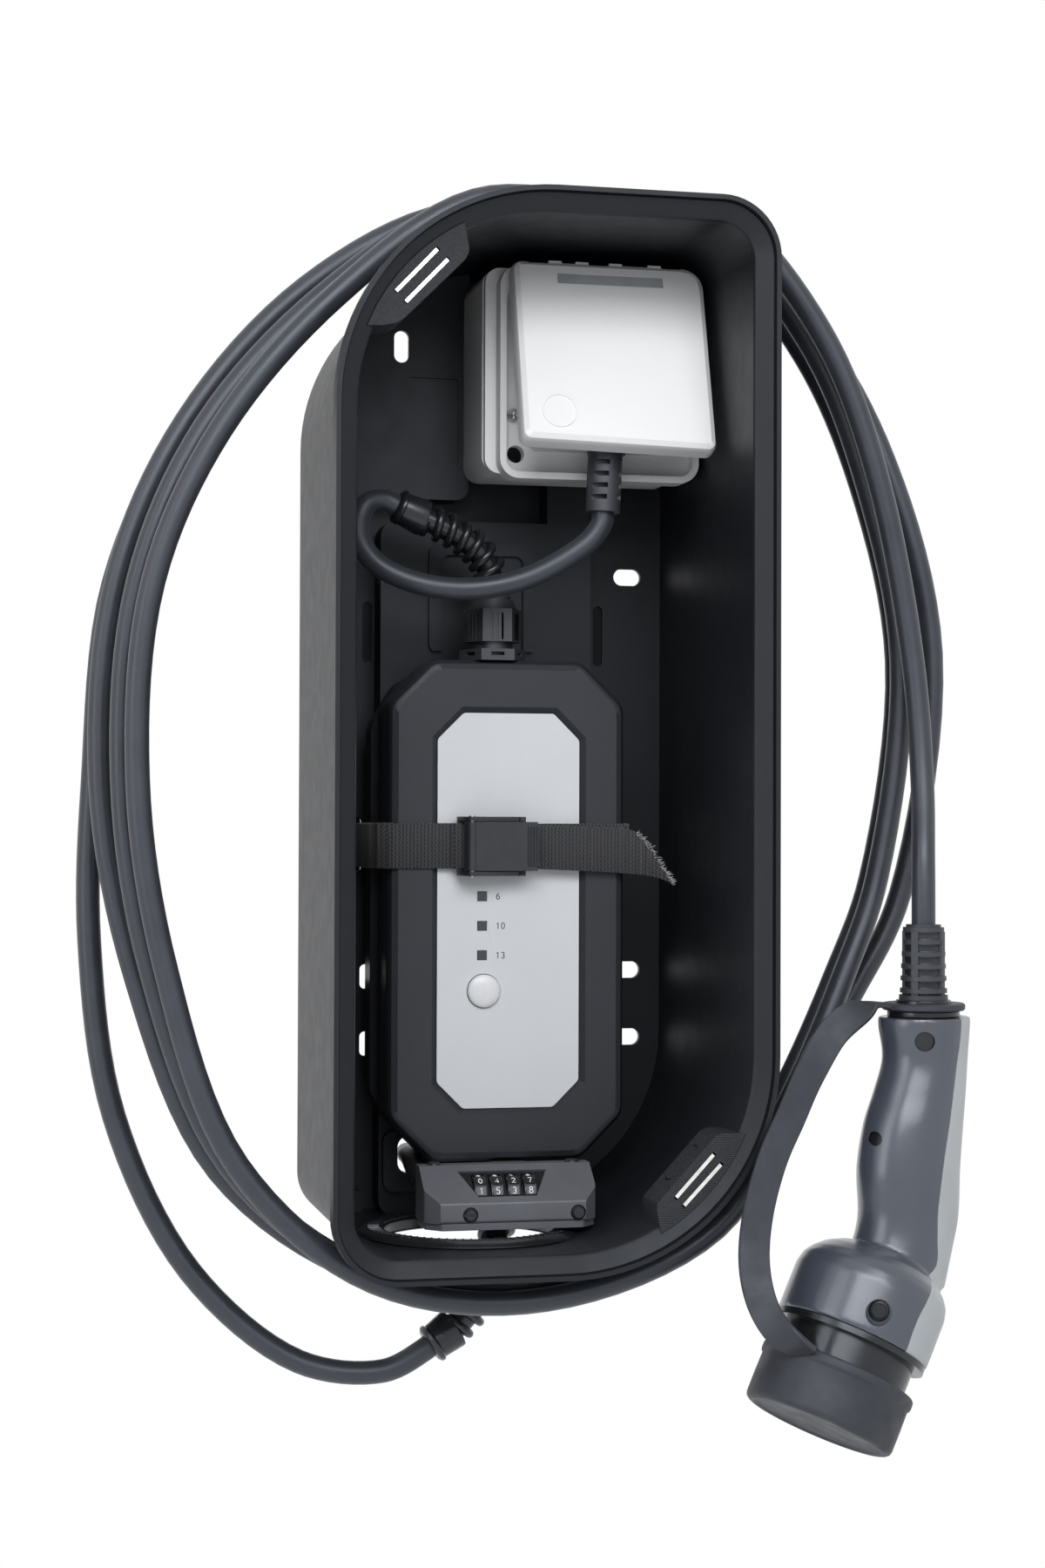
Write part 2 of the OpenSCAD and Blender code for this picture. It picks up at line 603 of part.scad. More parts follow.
rear_pts = [
    [-45, -103], [45, -103], [58.6, -84], [58.6, 84], [45, 106], [-45, 106], [-58.6, 84], [-58.6, -84]
];
screw_pts = [[-38, -88], [38, -88], [-38, 88], [38, 88], [-47, 0], [47, 0]];
cavity_pts = cut_corners(49.6, 97.2, 17);
post_pts = [[-38, -68], [38, -68], [-38, 70], [38, 70]];
board_y = -50;

module at_box() translate([box_x, 0, box_z]) children();

module rear_housing() in_place() color([0.16, 0.165, 0.175]) at_box() {
    difference() {
        hull() {
            slab(plat_y, plat_y - 0.4) rounded([for (p = rear_pts) p * 0.95], 9, $fn = 32);
            slab(plat_y - 4, part_y + 1.2) rounded(rear_pts, 10, $fn = 32);
        }
        difference() {
            slab(plat_y - 2.6, part_y) polygon(cavity_pts);
            for (p = screw_pts) translate([p[0], 0, p[1]]) rotate([90, 0, 0]) cylinder(h = 60, r = 4.2);
        }
        for (p = screw_pts) translate([p[0], 0, p[1]]) rotate([90, 0, 0]) cylinder(h = 60, r = 1.7);
        for (p = screw_pts) translate([p[0], plat_y + 1, p[1]]) rotate([90, 0, 0]) cylinder(h = 3, r = 3.2);
    }
    // posts of the circuit board, each with a peg through it
    for (p = post_pts) translate([p[0], plat_y - 2, p[1]]) rotate([90, 0, 0]) {
        cylinder(h = plat_y - 2 - board_y, r = 3.5);
        cylinder(h = plat_y - 2 - board_y + 2.6, r = 1.5);
    }
}

module housing_seal() in_place() color([0.05, 0.05, 0.055]) at_box()
    slab(part_y + 1.2, part_y - 1.2) difference() {
        cut_rect(53.2, 100.8, 18, 6);
        polygon(cavity_pts);
    }

label_x = 0.6;
label_z = 0;

module front_housing() in_place() color([0.24, 0.245, 0.255]) at_box() difference() {
    hull() {
        slab(part_y - 1.2, box_front + 5.6) cut_rect(box_hw, box_hh, 20, 9, $fn = 32);
        slab(box_front + 2, box_front + 1.6) cut_rect(box_hw - 1.9, box_hh - 1.9, 19.2, 9, $fn = 32);
        slab(box_front + 0.4, box_front) cut_rect(box_hw - 4.5, box_hh - 4.5, 18, 9, $fn = 32);
    }
    // inside, with the screw pillars left standing
    difference() {
        union() {
            slab(part_y, part_y - 4.5) polygon(cavity_pts);
            slab(part_y - 4.4, box_front + 5.4) polygon(cut_corners(box_hw - 2.8, box_hh - 2.8, 18.8));
        }
        for (p = screw_pts) translate([p[0], 0, p[1]]) rotate([90, 0, 0]) cylinder(h = 80, r = 4.2);
    }
    for (p = screw_pts) translate([p[0], 0, p[1]]) rotate([90, 0, 0]) cylinder(h = 56, r = 1.3);
    // sloping recess of the label
    translate([label_x, 0, label_z])
        eight_sided(33, 89.5, 12, [[0, box_front + 2.6], [-3.1, box_front - 0.5]]);
    front_openings(0.1);
    // holes of the two cable glands
    translate([in_gland[0] - box_x, in_gland[1], 100]) cylinder(h = 20, r = 8);
    translate([out_gland[0] - box_x, out_gland[1], -120]) cylinder(h = 20, r = 8);
}

// Three indicator windows and the button hole, through the label and the wall behind it
module front_openings(gap) {
    for (z = [6.4, -7, -20.3]) slab(box_front + 8, box_front - 2) translate([-11.6, z])
        square([4.4 + gap, 4.4 + gap], center = true);
    translate([-10.8, box_front + 8, -36.4]) rotate([90, 0, 0]) cylinder(h = 10, r = button_r + 0.1 + gap);
}

module label_plate() in_place() color([0.83, 0.84, 0.85]) at_box() difference() {
    slab(box_front + 2.6, box_front + 1.9) translate([label_x, label_z]) cut_rect(32.9, 89.4, 12, 3);
    front_openings(0.1);
}

module led_windows() in_place() color([0.42, 0.43, 0.44]) at_box() for (z = [6.4, -7, -20.3])
    slab(box_front + 6, box_front + 1.8) translate([-11.6, z]) square([4.4, 4.4], center = true);

module press_button() in_place() color([0.82, 0.83, 0.84]) at_box()
    translate([-10.8, 0, -36.4]) {
        translate([0, box_front + 5.4, 0]) rotate([90, 0, 0]) cylinder(h = 4.6, r = button_r);
        translate([0, box_front + 0.8, 0]) rotate([90, 0, 0])
            cylinder(h = 0.5, r1 = button_r, r2 = button_r - 0.6);
        translate([0, box_front + 7.2, 0]) rotate([90, 0, 0]) cylinder(h = 1.8, r = 9.4);
        translate([0, board_y - 2.8 - button_travel, 0]) rotate([90, 0, 0]) cylinder(h = 5, r = 1.8);
    }

module circuit_board() in_place() color([0.1, 0.32, 0.16]) at_box() difference() {
    union() {
        slab(board_y, board_y - 1.6) cut_rect(42, 90, 14, 2);
        for (z = [-60, 60]) slab(board_y + 1, board_y) translate([-30, z]) square([16, 8]);
        translate([-10.8, board_y - 1.5, -36.4]) rotate([90, 0, 0]) cylinder(h = 1.1, r = 3);
    }
    for (p = post_pts) translate([p[0], 0, p[1]]) rotate([90, 0, 0]) cylinder(h = 60, r = 1.55);
}

module relays() in_place() color([0.1, 0.12, 0.2]) at_box() for (x = [-24, 8])
    slab(board_y + 21.4, board_y) rrect(x, 10, x + 22, 44, 1.5);

module current_sensor() in_place() color([0.12, 0.12, 0.13]) at_box() translate([0, board_y + 9, -30])
    difference() {
        rotate([90, 0, 0]) translate([0, 0, -6]) cylinder(h = 15, r = 14);
        rotate([90, 0, 0]) translate([0, 0, -10]) cylinder(h = 24, r = 7);
    }

module housing_screws() in_place() color([0.7, 0.71, 0.72]) at_box() for (p = screw_pts)
    translate([p[0], plat_y - 0.2, p[1]]) rotate([-90, 0, 0]) screw(3, 1.8, 1.25, 30);

out_gland = [-1.6, -52, -191.5];

module outlet_gland() in_place() color([0.2, 0.205, 0.215]) translate(out_gland)
    rotate([180, 0, 0]) gland_short();

module gland_short() difference() {
    union() {
        translate([0, 0, -9]) cylinder(h = 9.5, r = 7.9);
        linear_extrude(height = 3) hex(14);
        translate([0, 0, 2.8]) linear_extrude(height = 5) hex(12.6);
        translate([0, 0, 7.7]) cylinder(h = 2.8, r1 = 10.6, r2 = 9);
        translate([0, 0, -5.8]) linear_extrude(height = 3) hex(9.6);
    }
    for (a = [0 : 60 : 300]) rotate([0, 0, a + 30]) translate([8, -2.6, 0.8]) cube([8, 5.2, 1.4]);
    // seat of the bend relief
    translate([0, 0, 6.5]) cylinder(h = 5, r = 6.3);
}

outlet_path = [
    [-1.6, -52, -198], [-1.6, -52, -204.5], [-3.2, -58.8, -209], [-5.4, -65.6, -213], [-8, -71, -218.6],
    [-9.8, -76, -226], [-11.6, -80, -235], [-15, -82.6, -244.4], [-21.6, -84.4, -252.6],
    [-30.6, -86, -261.4]
];

module outlet_relief() in_place() color([0.1, 0.1, 0.105]) {
    relief(outlet_path, 5.8, 1.7, 2);
    rod([-30.4, -86, -261.2], cable_start, 9.2);
}

// Charging cable

cable_start = [-42, -87, -269];
// One turn of the coil, seen from the front, clockwise from the lowest point
coil_turn = [
    [0, -242], [-73, -229], [-131, -181], [-162, -100], [-174, -20], [-168, 62], [-140, 127], [-90, 184],
    [-31, 227], [28, 230], [72, 230.5], [92, 219.5], [128, 173], [151, 114], [167, 35], [155, -62],
    [138, -105], [112, -158], [76, -214]
];
// Distance from the wall at the bottom, left, top and right of each turn
turn_y = [[-95, -66, -46, -88], [-108, -86, -73, -102], [-121, -106, -100, -116], [-134, -125, -127, -130]];
// How far each turn bulges beyond the common shape, point by point
turn_out = [
    [0, 0, 0, 0, 15, 13, 12, 9, 6, 15, 11, 13, 20, 25, 26, 23, 17, 9, 2],
    [0, 4, 9, 11, 13, 13, 14, 16, 8, 2, 2, 2, 2, 3, 3, 2, 1, 0, 0],
    [0, 2, 4, 5, 5, 5, 6, 7, 4, 1, 0, 0, 0, 0, 0, 0, 0, 0, 0],
    [0, 3.4, 1.6, 0, 0, 0, 0, 2.2, 2.2, 0, 0, 0, 0, 0, 0, 0, 0, 0, 0]
];

function ease(t) = (1 - cos(180 * t)) / 2;
function quarter(i) =
    i < 4 ? [0, i / 4] : i < 9 ? [1, (i - 4) / 5] : i < 14 ? [2, (i - 9) / 5] : [3, (i - 14) / 5];
function station_y(k, q) = q < 4 ? turn_y[k][q] : turn_y[min(k + 1, 3)][0];
function coil_point(k, i) =
    let (q = quarter(i), p = coil_turn[i], out = p * (1 + turn_out[k][i] / norm(p)),
        y = station_y(k, q[0]) + (station_y(k, q[0] + 1) - station_y(k, q[0])) * ease(q[1]))
    [out[0], y, out[1]];

cable_in = [
    cable_start, [-44.48, -87.21, -270.67], [-62, -85.4, -279.4], [-99, -79, -275], [-146, -73, -235],
    [-179, -68, -167], [-190, -66, -90]
];
cable_end = [[169.4, -136, -20], [165.4, -147.6, -54], [164.6, conn_y, -74], [164.6, conn_y, -82]];
cable_path = concat(cable_in, [for (i = [4 : 18]) coil_point(0, i)], [for (i = [0 : 18]) coil_point(1, i)],
    [for (i = [0 : 18]) coil_point(2, i)], [for (i = [0 : 14]) coil_point(3, i)], cable_end);

module charging_cable() in_place() color([0.25, 0.255, 0.275])
    tube(cable_path, cable_d / 2, 10, [0, 1, 0]);

// Strap and buckle

strap_z0 = -59;
strap_z1 = -38.6;
strap_out = [
    [-62.8, -0.2], [-62.8, -40], [-61.4, -56], [-59.8, -61], [-57.2, -65.8], [-53.6, -67.7], [48.8, -67.7],
    [52.4, -65.8], [55, -61], [56.6, -56], [57.9, -40], [57.9, -0.2]
];
strap_in = [
    [56.3, -1.8], [56.3, -40], [55, -55.6], [53.4, -60.3], [51.3, -64.4], [48.4, -66], [-53.2, -66],
    [-56.1, -64.4], [-58.2, -60.3], [-59.8, -55.6], [-61.2, -40], [-61.2, -1.8]
];
strap_layer = [
    [-29, -67.5], [-28.4, -69.8], [-26.8, -71], [5, -71], [7, -69.9], [8.4, -67.5], [6.4, -67.5],
    [5.2, -69.4], [-26.8, -69.4], [-27.2, -67.5]
];
strap_tail = [
    [3, -70.4], [12, -69.9], [56, -68.9], [62.6, -67.4], [70.2, -69.4], [70.6, -71], [62.6, -69.1],
    [56, -70.5], [12, -71.5], [3, -72.2]
];

module strap() in_place() color([0.1, 0.1, 0.11]) translate([0, 0, strap_z0])
    linear_extrude(height = strap_z1 - strap_z0) {
        polygon(concat(strap_out, strap_in));
        // run behind the back panel
        translate([-62.8, -1.8]) square([120.7, 1.6]);
        // second layer through the buckle and the loose end
        polygon(strap_layer);
        polygon(strap_tail);
    }

buckle_z0 = -62.2;
buckle_z1 = -35.6;
buckle_x = -21;
buckle_y = -75;

module buckle_frame() in_place() color([0.09, 0.09, 0.095]) difference() {
    union() {
        translate([-26.6, -69.4, buckle_z0]) cube([31.6, 1.7, buckle_z1 - buckle_z0]);
        for (z = [buckle_z0, buckle_z1 - 2]) hull() {
            translate([-26.6, -69.4, z]) cube([31.6, 1.7, 2]);
            translate([buckle_x, buckle_y, z]) cylinder(h = 2, r = 3, $fn = 32);
            translate([0, -72.6, z]) cylinder(h = 2, r = 2, $fn = 32);
        }
    }
    translate([buckle_x, buckle_y, buckle_z0 - 1]) cylinder(h = 30, r = 1.55);
}

module buckle_lever() in_place() color([0.13, 0.13, 0.135]) difference() {
    union() {
        translate([buckle_x, buckle_y, buckle_z0 + 2.3]) cylinder(h = 22, r = 3.4);
        translate([buckle_x, buckle_y - 3, buckle_z0 + 2.3]) cube([29.6, 2.2, 22]);
        for (k = [0 : 3]) translate([4 + k * 1.4, buckle_y - 3.6, buckle_z0 + 4.3]) cube([0.8, 1, 18]);
    }
    translate([buckle_x, buckle_y, buckle_z0]) cylinder(h = 30, r = 1.55);
}

module buckle_pin() in_place() color([0.6, 0.61, 0.62])
    translate([buckle_x, buckle_y, buckle_z0 - 0.4]) cylinder(h = buckle_z1 - buckle_z0 + 0.8, r = 1.5);

// Cable lock

lock_y = -84;
lock_bottom = floor_z + 4.8;
dial_y = -98.6;
dial_z = -201.3;
dial_x0 = -22.6;
key_z = -208.4;

lock_side = [
    [lock_y, -189], [-93, -189], [-112, -203.4], [-112, lock_bottom + 3], [lock_y, lock_bottom + 3]
];

module lock_body() in_place() color([0.12, 0.122, 0.13]) difference() {
    intersection() {
        translate([lock_x0, 0, 0]) rotate([90, 0, 90]) linear_extrude(height = lock_len)
            rounded(lock_side, 1.5);
        translate([lock_x0, 0, 0]) lock_ends();
    }
    // pocket and four windows of the dials
    translate([-11.5, dial_y, dial_z]) rotate([37.2, 0, 0]) translate([0, 0, 5.2]) linear_extrude(height = 6)
        polygon([[-13, -8], [13, -8], [20, 8], [-20, 8]]);
    for (k = [0 : 3]) translate([dial_x0 + k * dial_pitch - 3, dial_y, dial_z]) rotate([0, 90, 0])
        cylinder(h = 6, r = dial_r + 0.6);
    translate([lock_x0 + 8, dial_y, dial_z]) rotate([0, 90, 0]) cylinder(h = 62, r = 2.55);
    // seats of the button and the knob, rivets and the cable's end
    translate([19.4, -113, key_z]) rotate([-90, 0, 0]) cylinder(h = 11, r = 3.4);
    translate([-28.6, -113, key_z]) rotate([-90, 0, 0]) cylinder(h = 8.6, r = 3.4);
    for (x = [-40.6, 22]) translate([x, -89, -230]) cylinder(h = 60, r = 2);
    translate([-43, -83, -199]) rotate([90, 0, 0]) cylinder(h = 4, r = 5);
}

// Rounded ends of the lock, seen from above
module lock_ends() translate([0, 0, -230]) linear_extrude(height = 60) rounded([[0, lock_y + 1], [0, -105],
    [7, -113], [lock_len - 7, -113], [lock_len, -105], [lock_len, lock_y + 1]], 3);

module lock_base() in_place() color([0.1, 0.1, 0.105]) difference() {
    translate([lock_x0 + 0.6, 0, lock_bottom]) linear_extrude(height = 3) rounded([[0, lock_y - 0.6],
        [0, -104.6], [6.4, -111.4], [lock_len - 7.6, -111.4], [lock_len - 1.2, -104.6],
        [lock_len - 1.2, lock_y - 0.6]], 2.4);
    for (x = [-40.6, 22]) translate([x, -89, -230]) cylinder(h = 60, r = 2);
}

module dial(k) translate([dial_x0 + k * dial_pitch, dial_y, dial_z]) rotate([0, 90, 0]) difference() {
    union() {
        translate([0, 0, -2.7]) cylinder(h = 5.4, r = dial_r - 0.5);
        for (a = [0 : 36 : 324]) rotate([0, 0, a]) translate([dial_r - 1.2, -1.9, -2.1])
            cube([1.15, 3.8, 4.2]);
    }
    translate([0, 0, -4]) cylinder(h = 8, r = 2.56);
}

module dial_1() in_place() color([0.8, 0.81, 0.82]) dial(0);
module dial_2() in_place() color([0.8, 0.81, 0.82]) dial(1);
module dial_3() in_place() color([0.8, 0.81, 0.82]) dial(2);
module dial_4() in_place() color([0.8, 0.81, 0.82]) dial(3);

module dial_spindle() in_place() color([0.7, 0.71, 0.72]) translate([lock_x0 + 8, dial_y, dial_z])
    rotate([0, 90, 0]) cylinder(h = 62, r = 2.5);

module release_button() in_place() color([0.2, 0.205, 0.22]) translate([19.4, -111.4, key_z])
    rotate([-90, 0, 0]) {
        cylinder(h = 6, r = 3.3);
        translate([0, 0, -2.6]) cylinder(h = 2.7, r1 = 2.2, r2 = 3.3);
    }

module set_knob() in_place() color([0.2, 0.205, 0.22]) translate([-28.6, -111.4, key_z])
    rotate([-90, 0, 0]) difference() {
        union() {
            cylinder(h = 7, r = 3.3);
            translate([0, 0, -1.8]) cylinder(h = 1.9, r1 = 2.2, r2 = 3.3);
        }
        translate([-3, -0.5, -2]) cube([6, 1, 1.2]);
    }

module lock_rivets() in_place() color([0.3, 0.31, 0.33]) for (x = [-40.6, 22]) {
    translate([x, -89, lock_bottom]) cylinder(h = -188.8 - lock_bottom, r = 1.95);
    translate([x, -89, -188.95]) cylinder(h = 1, r1 = 3.4, r2 = 2.6);
}

lock_cable_path = [
    [-43, -87, -199], [-43, -78, -199], [-42.8, -66, -198], [-41.8, -50, -195.6], [-40.4, -30, -193],
    [-40, -16, -192.5]
];

module lock_cable() in_place() color([0.08, 0.08, 0.085]) {
    tube(lock_cable_path, 4.6, 12, [1, 0, 0]);
    translate([-40, -9, -192.5]) rotate([90, 0, 0]) cylinder(h = 7.2, r = 7.6);
}

// Connector

// [x, z, width, depth] of the handle, from the collar down into the head
grip = [
    [0.4, -123, 42, 37.6], [0.8, -140, 39.2, 35.2], [-2.1, -153.5, 42.8, 36.8], [-6.1, -168.3, 47.2, 39.2],
    [-8.9, -187, 48.8, 40], [-9.1, -207.3, 47.2, 39.2], [-15, -226, 48, 40], [-22, -240, 50, 44]
];
nose_at = [-42.3, 0, -257.9];
head_profile = [
    [0, 0], [33.2, 0], [33.7, 0.8], [33.7, 22], [32.6, 27], [30.2, 30.6], [26, 34.6], [20, 38], [0, 40]
];
// Seam between the body and the spine, in the connector's middle plane
seam = [
    [4.4, -110], [4.4, -126.5], [3.3, -138.8], [-1.6, -159.8], [-7, -181], [-10.4, -201.9], [-11, -215.6],
    [-11.7, -229.2], [-25.4, -233.7], [-33.6, -241.6], [-39.6, -251.4], [-46, -266], [-46, -300],
    [60, -300], [60, -110]
];
// [x, y, z, radius] of the screw recesses
conn_screws = [[-12.5, -13.8, -131.6, 4.3], [-30.4, -2.1, -173, 3], [-53.1, -28.6, -241, 4.6]];

// Frame of the connector: Z runs down through the collar, X lies in the middle plane
module conn_place() translate([164.6, conn_y, 0]) rotate([0, 0, conn_turn]) children();

module head_place() translate(nose_at) rotate([0, nose_lean, 0]) children();

module grip_ring(g) translate([g[0], 0, g[1]]) scale([g[2] / 2, g[3] / 2, 1])
    cylinder(h = 1, r = 1, $fn = 32);

module handle_solid() {
    for (i = [0 : len(grip) - 2]) hull() {
        grip_ring(grip[i]);
        grip_ring(grip[i + 1]);
    }
    head_place() rotate_extrude() polygon(head_profile);
}

module seam_cut() translate([0, 60, 0]) rotate([90, 0, 0]) linear_extrude(height = 120) polygon(seam);

module at_screw(p) translate([p[0], p[1], p[2]]) rotate([90, 0, -45]) children();

module connector_body() in_place() color([0.28, 0.31, 0.35]) conn_place() difference() {
    handle_solid();
    seam_cut();
    for (p = conn_screws) at_screw(p) translate([0, 0, -4.5]) cylinder(h = 16, r = p[3]);
    for (p = conn_screws) at_screw(p) translate([0, 0, -14]) cylinder(h = 12, r = 1.7);
}

module connector_spine() in_place() color([0.72, 0.74, 0.75]) conn_place() intersection() {
    handle_solid();
    seam_cut();
}

module connector_screws() in_place() color([0.7, 0.71, 0.72]) conn_place() for (p = conn_screws)
    at_screw(p) translate([0, 0, -2.5]) screw(p[3] - 1, 2, 1.6, 9);

module connector_nose() in_place() color([0.07, 0.07, 0.075]) conn_place() head_place() difference() {
    rotate_extrude() polygon([[0, -35], [26.6, -35], [26.6, -18], [28.9, -17], [28.9, -2.6], [33.2, -2.6],
        [33.2, 0], [0, 0]]);
    difference() {
        translate([0, 0, -36]) cylinder(h = 24, r = 24.4);
        for (p = contact_pts) translate([p[0], p[1], -40]) cylinder(h = 30, r = p[2] + 1.8);
    }
    for (p = contact_pts) translate([p[0], p[1], -36]) cylinder(h = 22, r = p[2]);
    translate([22.2, -40, -36]) cube([10, 80, 18]);
}

contact_pts = [
    [0, 0, 3], [-5.6, 8.5, 3], [-5.6, -8.5, 3], [5.6, 14.2, 3], [5.6, -14.2, 3], [13.2, 6.2, 1.5],
    [13.2, -6.2, 1.5]
];

module connector_contacts() in_place() color([0.8, 0.72, 0.45]) conn_place() head_place()
    for (p = contact_pts) translate([p[0], p[1], -33]) difference() {
        cylinder(h = 19, r = p[2]);
        translate([0, 0, -1]) cylinder(h = 14, r = p[2] * 0.6);
    }

module connector_collar() in_place() color([0.06, 0.06, 0.065]) translate([164.6, conn_y, 0]) {
    translate([0, 0, -122]) cylinder(h = 2.9, r = 15.7);
    translate([0, 0, -119.2]) cylinder(h = 4.6, r = 12);
}

module connector_boot() in_place() color([0.16, 0.165, 0.18]) translate([164.6, conn_y, 0])
    difference() {
        union() {
            translate([0, 0, -114.6]) cylinder(h = 32.6, r = 7.6);
            for (k = [0 : 5]) translate([0, 0, -111.6 + k * 5.3]) cylinder(h = 1.9, r = 10.2 - k * 0.25);
            translate([0, 0, -114.6]) cylinder(h = 2, r = 10.6);
            for (a = [45 : 90 : 315]) rotate([0, 0, a]) translate([5, -1.6, -114]) cube([4.4, 3.2, 29]);
        }
        for (k = [0 : 4]) for (a = [0 : 90 : 270]) rotate([0, 0, a])
            translate([6.2, -4.6, -109.2 + k * 5.3]) cube([3, 9.2, 2.4]);
    }

// [point, direction of the band's width, half width] down the tether
tether = [
    [[149, -150, -117.4], [0, 1, 0], 6], [[141, -150, -116.6], [0, 1, 0], 6.6],
    [[134.2, -151.5, -119.4], [-0.5, 0.8, 0.5], 6.8], [[121.9, -153, -128.7], [-0.7, 0.4, 0.7], 6.8],
    [[110.3, -156, -145.9], [-0.86, 0, 0.5], 6.8], [[100.7, -160, -163.5], [-0.89, 0, 0.44], 6.6],
    [[90.8, -165, -181], [-0.92, 0, 0.4], 6.6], [[82.8, -171, -202], [-0.98, 0, 0.2], 6.6],
    [[78.8, -178, -221.3], [-1, 0, -0.1], 6.6], [[80.1, -185, -237.6], [-0.93, 0.2, -0.3], 6.4],
    [[86.6, -190.6, -249.6], [-0.85, 0.4, -0.2], 6.2], [[98.4, -192.6, -257.4], [-0.72, 0.66, 0.1], 6.2]
];

module band() {
    n = len(tether);
    points = [for (i = [0 : n - 1])
        let (p = tether[i][0], t = unit(tether[min(i + 1, n - 1)][0] - tether[max(i - 1, 0)][0]),
            u = unit(tether[i][1] - t * (tether[i][1] * t)), v = cross(t, u), w = tether[i][2])
        each [p + u * w + v * 1.3, p - u * w + v * 1.3, p - u * w - v * 1.3, p + u * w - v * 1.3]];
    walls = [for (i = [0 : n - 2]) for (k = [0 : 3])
        let (a = i * 4 + k, b = i * 4 + (k + 1) % 4) each [[a, a + 4, b], [b, a + 4, b + 4]]];
    polyhedron(points, concat([[0, 1, 2, 3], [n * 4 - 1, n * 4 - 2, n * 4 - 3, n * 4 - 4]], walls));
}

module dust_cap() in_place() color([0.17, 0.18, 0.2]) {
    translate([164.6, conn_y, -119.1]) difference() {
        cylinder(h = 3, r = 18);
        translate([0, 0, -1]) cylinder(h = 5, r = 12.1);
    }
    difference() {
        union() {
            band();
            conn_place() head_place() rotate_extrude() polygon([[0, -14.2], [33.2, -14.2], [33.7, -14.8],
                [33.7, -18], [33, -18.8], [32.8, -37.6], [30.8, -39.6], [0, -39.6]]);
        }
        conn_place() head_place() translate([0, 0, -36.2]) cylinder(h = 26, r = 29.1);
    }
}

// Placing and drawing

// Lifts the whole part so that the origin is the middle of the four wall slots
module in_place() translate([0, 0, mid_z]) children();

shell();
corner_insert_top();
corner_insert_bottom();
insert_strips_top();
insert_strips_bottom();
floor_grommet();
socket_box();
socket_gasket();
socket_frame();
socket_insert();
earth_clips();
socket_lid();
lid_window();
hinge_pin();
hinge_spring();
frame_screws();
mains_plug();
plug_pins();
mains_lead();
inlet_relief();
inlet_gland();
rear_housing();
front_housing();
housing_seal();
label_plate();
led_windows();
press_button();
circuit_board();
relays();
current_sensor();
housing_screws();
outlet_gland();
outlet_relief();
charging_cable();
strap();
buckle_frame();
buckle_lever();
buckle_pin();
lock_body();
lock_base();
dial_1();
dial_2();
dial_3();
dial_4();
dial_spindle();
release_button();
set_knob();
lock_cable();
lock_rivets();
connector_body();
connector_spine();
connector_nose();
connector_contacts();
connector_screws();
connector_collar();
connector_boot();
dust_cap();
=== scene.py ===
"""Looks of the wall-mounted holder for a portable vehicle charger."""
import json
import math
import random

import bmesh
import bpy
from mathutils import Matrix, Vector

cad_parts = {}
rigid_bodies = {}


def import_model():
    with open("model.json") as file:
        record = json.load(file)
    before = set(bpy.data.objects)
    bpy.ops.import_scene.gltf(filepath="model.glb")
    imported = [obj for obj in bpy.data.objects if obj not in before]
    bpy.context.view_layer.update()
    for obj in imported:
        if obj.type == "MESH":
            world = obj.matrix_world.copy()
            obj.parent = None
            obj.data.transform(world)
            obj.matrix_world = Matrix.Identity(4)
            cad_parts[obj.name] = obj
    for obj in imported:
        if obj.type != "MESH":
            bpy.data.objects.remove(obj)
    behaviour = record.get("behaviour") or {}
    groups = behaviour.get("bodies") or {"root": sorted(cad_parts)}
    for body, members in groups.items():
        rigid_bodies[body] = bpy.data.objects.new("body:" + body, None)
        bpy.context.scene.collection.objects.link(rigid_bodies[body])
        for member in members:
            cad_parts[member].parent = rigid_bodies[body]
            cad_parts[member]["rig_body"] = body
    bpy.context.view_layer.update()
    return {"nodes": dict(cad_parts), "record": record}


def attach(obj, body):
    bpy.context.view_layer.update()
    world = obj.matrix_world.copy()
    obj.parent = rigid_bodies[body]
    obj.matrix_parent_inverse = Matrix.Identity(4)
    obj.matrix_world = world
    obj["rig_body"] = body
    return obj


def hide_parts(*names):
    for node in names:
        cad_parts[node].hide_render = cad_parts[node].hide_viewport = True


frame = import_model()
nodes = frame["nodes"]

MM = 0.001
# Height of the shell's middle above the middle of the wall slots, in mm
MID_Z = 14.3


def at(x, y, z):
    """A point given in mm from the shell's middle, in metres in the part's frame."""
    return Vector((x, y, z + MID_Z)) * MM


# Camera, fitted to the shell's outline in the photo; the angles are in degrees
CAMERA_PLACE = at(-262.84, -1252.42, -38.72)
CAMERA_YAW = 12.68
CAMERA_PITCH = -0.85
CAMERA_ROLL = 0.19
LENS = 61.56
SENSOR_WIDTH = 36


def add_camera():
    """Places the camera, which looks along the wall's normal turned by the three angles."""
    yaw, pitch, roll = (math.radians(a) for a in (CAMERA_YAW, CAMERA_PITCH, CAMERA_ROLL))
    forward = Vector((math.sin(yaw) * math.cos(pitch), math.cos(yaw) * math.cos(pitch), -math.sin(pitch)))
    level = Vector((math.cos(yaw), -math.sin(yaw), 0))
    upright = level.cross(forward)
    right = math.cos(roll) * level + math.sin(roll) * upright
    up = math.cos(roll) * upright - math.sin(roll) * level
    data = bpy.data.cameras.new("camera")
    data.sensor_width = SENSOR_WIDTH
    data.lens = LENS
    data.clip_end = 40
    camera = bpy.data.objects.new("camera", data)
    turn = Matrix((right, up, -forward)).transposed().to_4x4()
    camera.matrix_world = Matrix.Translation(CAMERA_PLACE) @ turn
    bpy.context.scene.collection.objects.link(camera)
    bpy.context.scene.camera = camera


add_camera()


# Materials
# Tint of the gloss of everything that isn't metal
COOL_GLOSS = (0.86, 0.92, 1.0, 1.0)
# Values between which most of a noise texture lies
NOISE_LOW = 0.3
NOISE_HIGH = 0.7


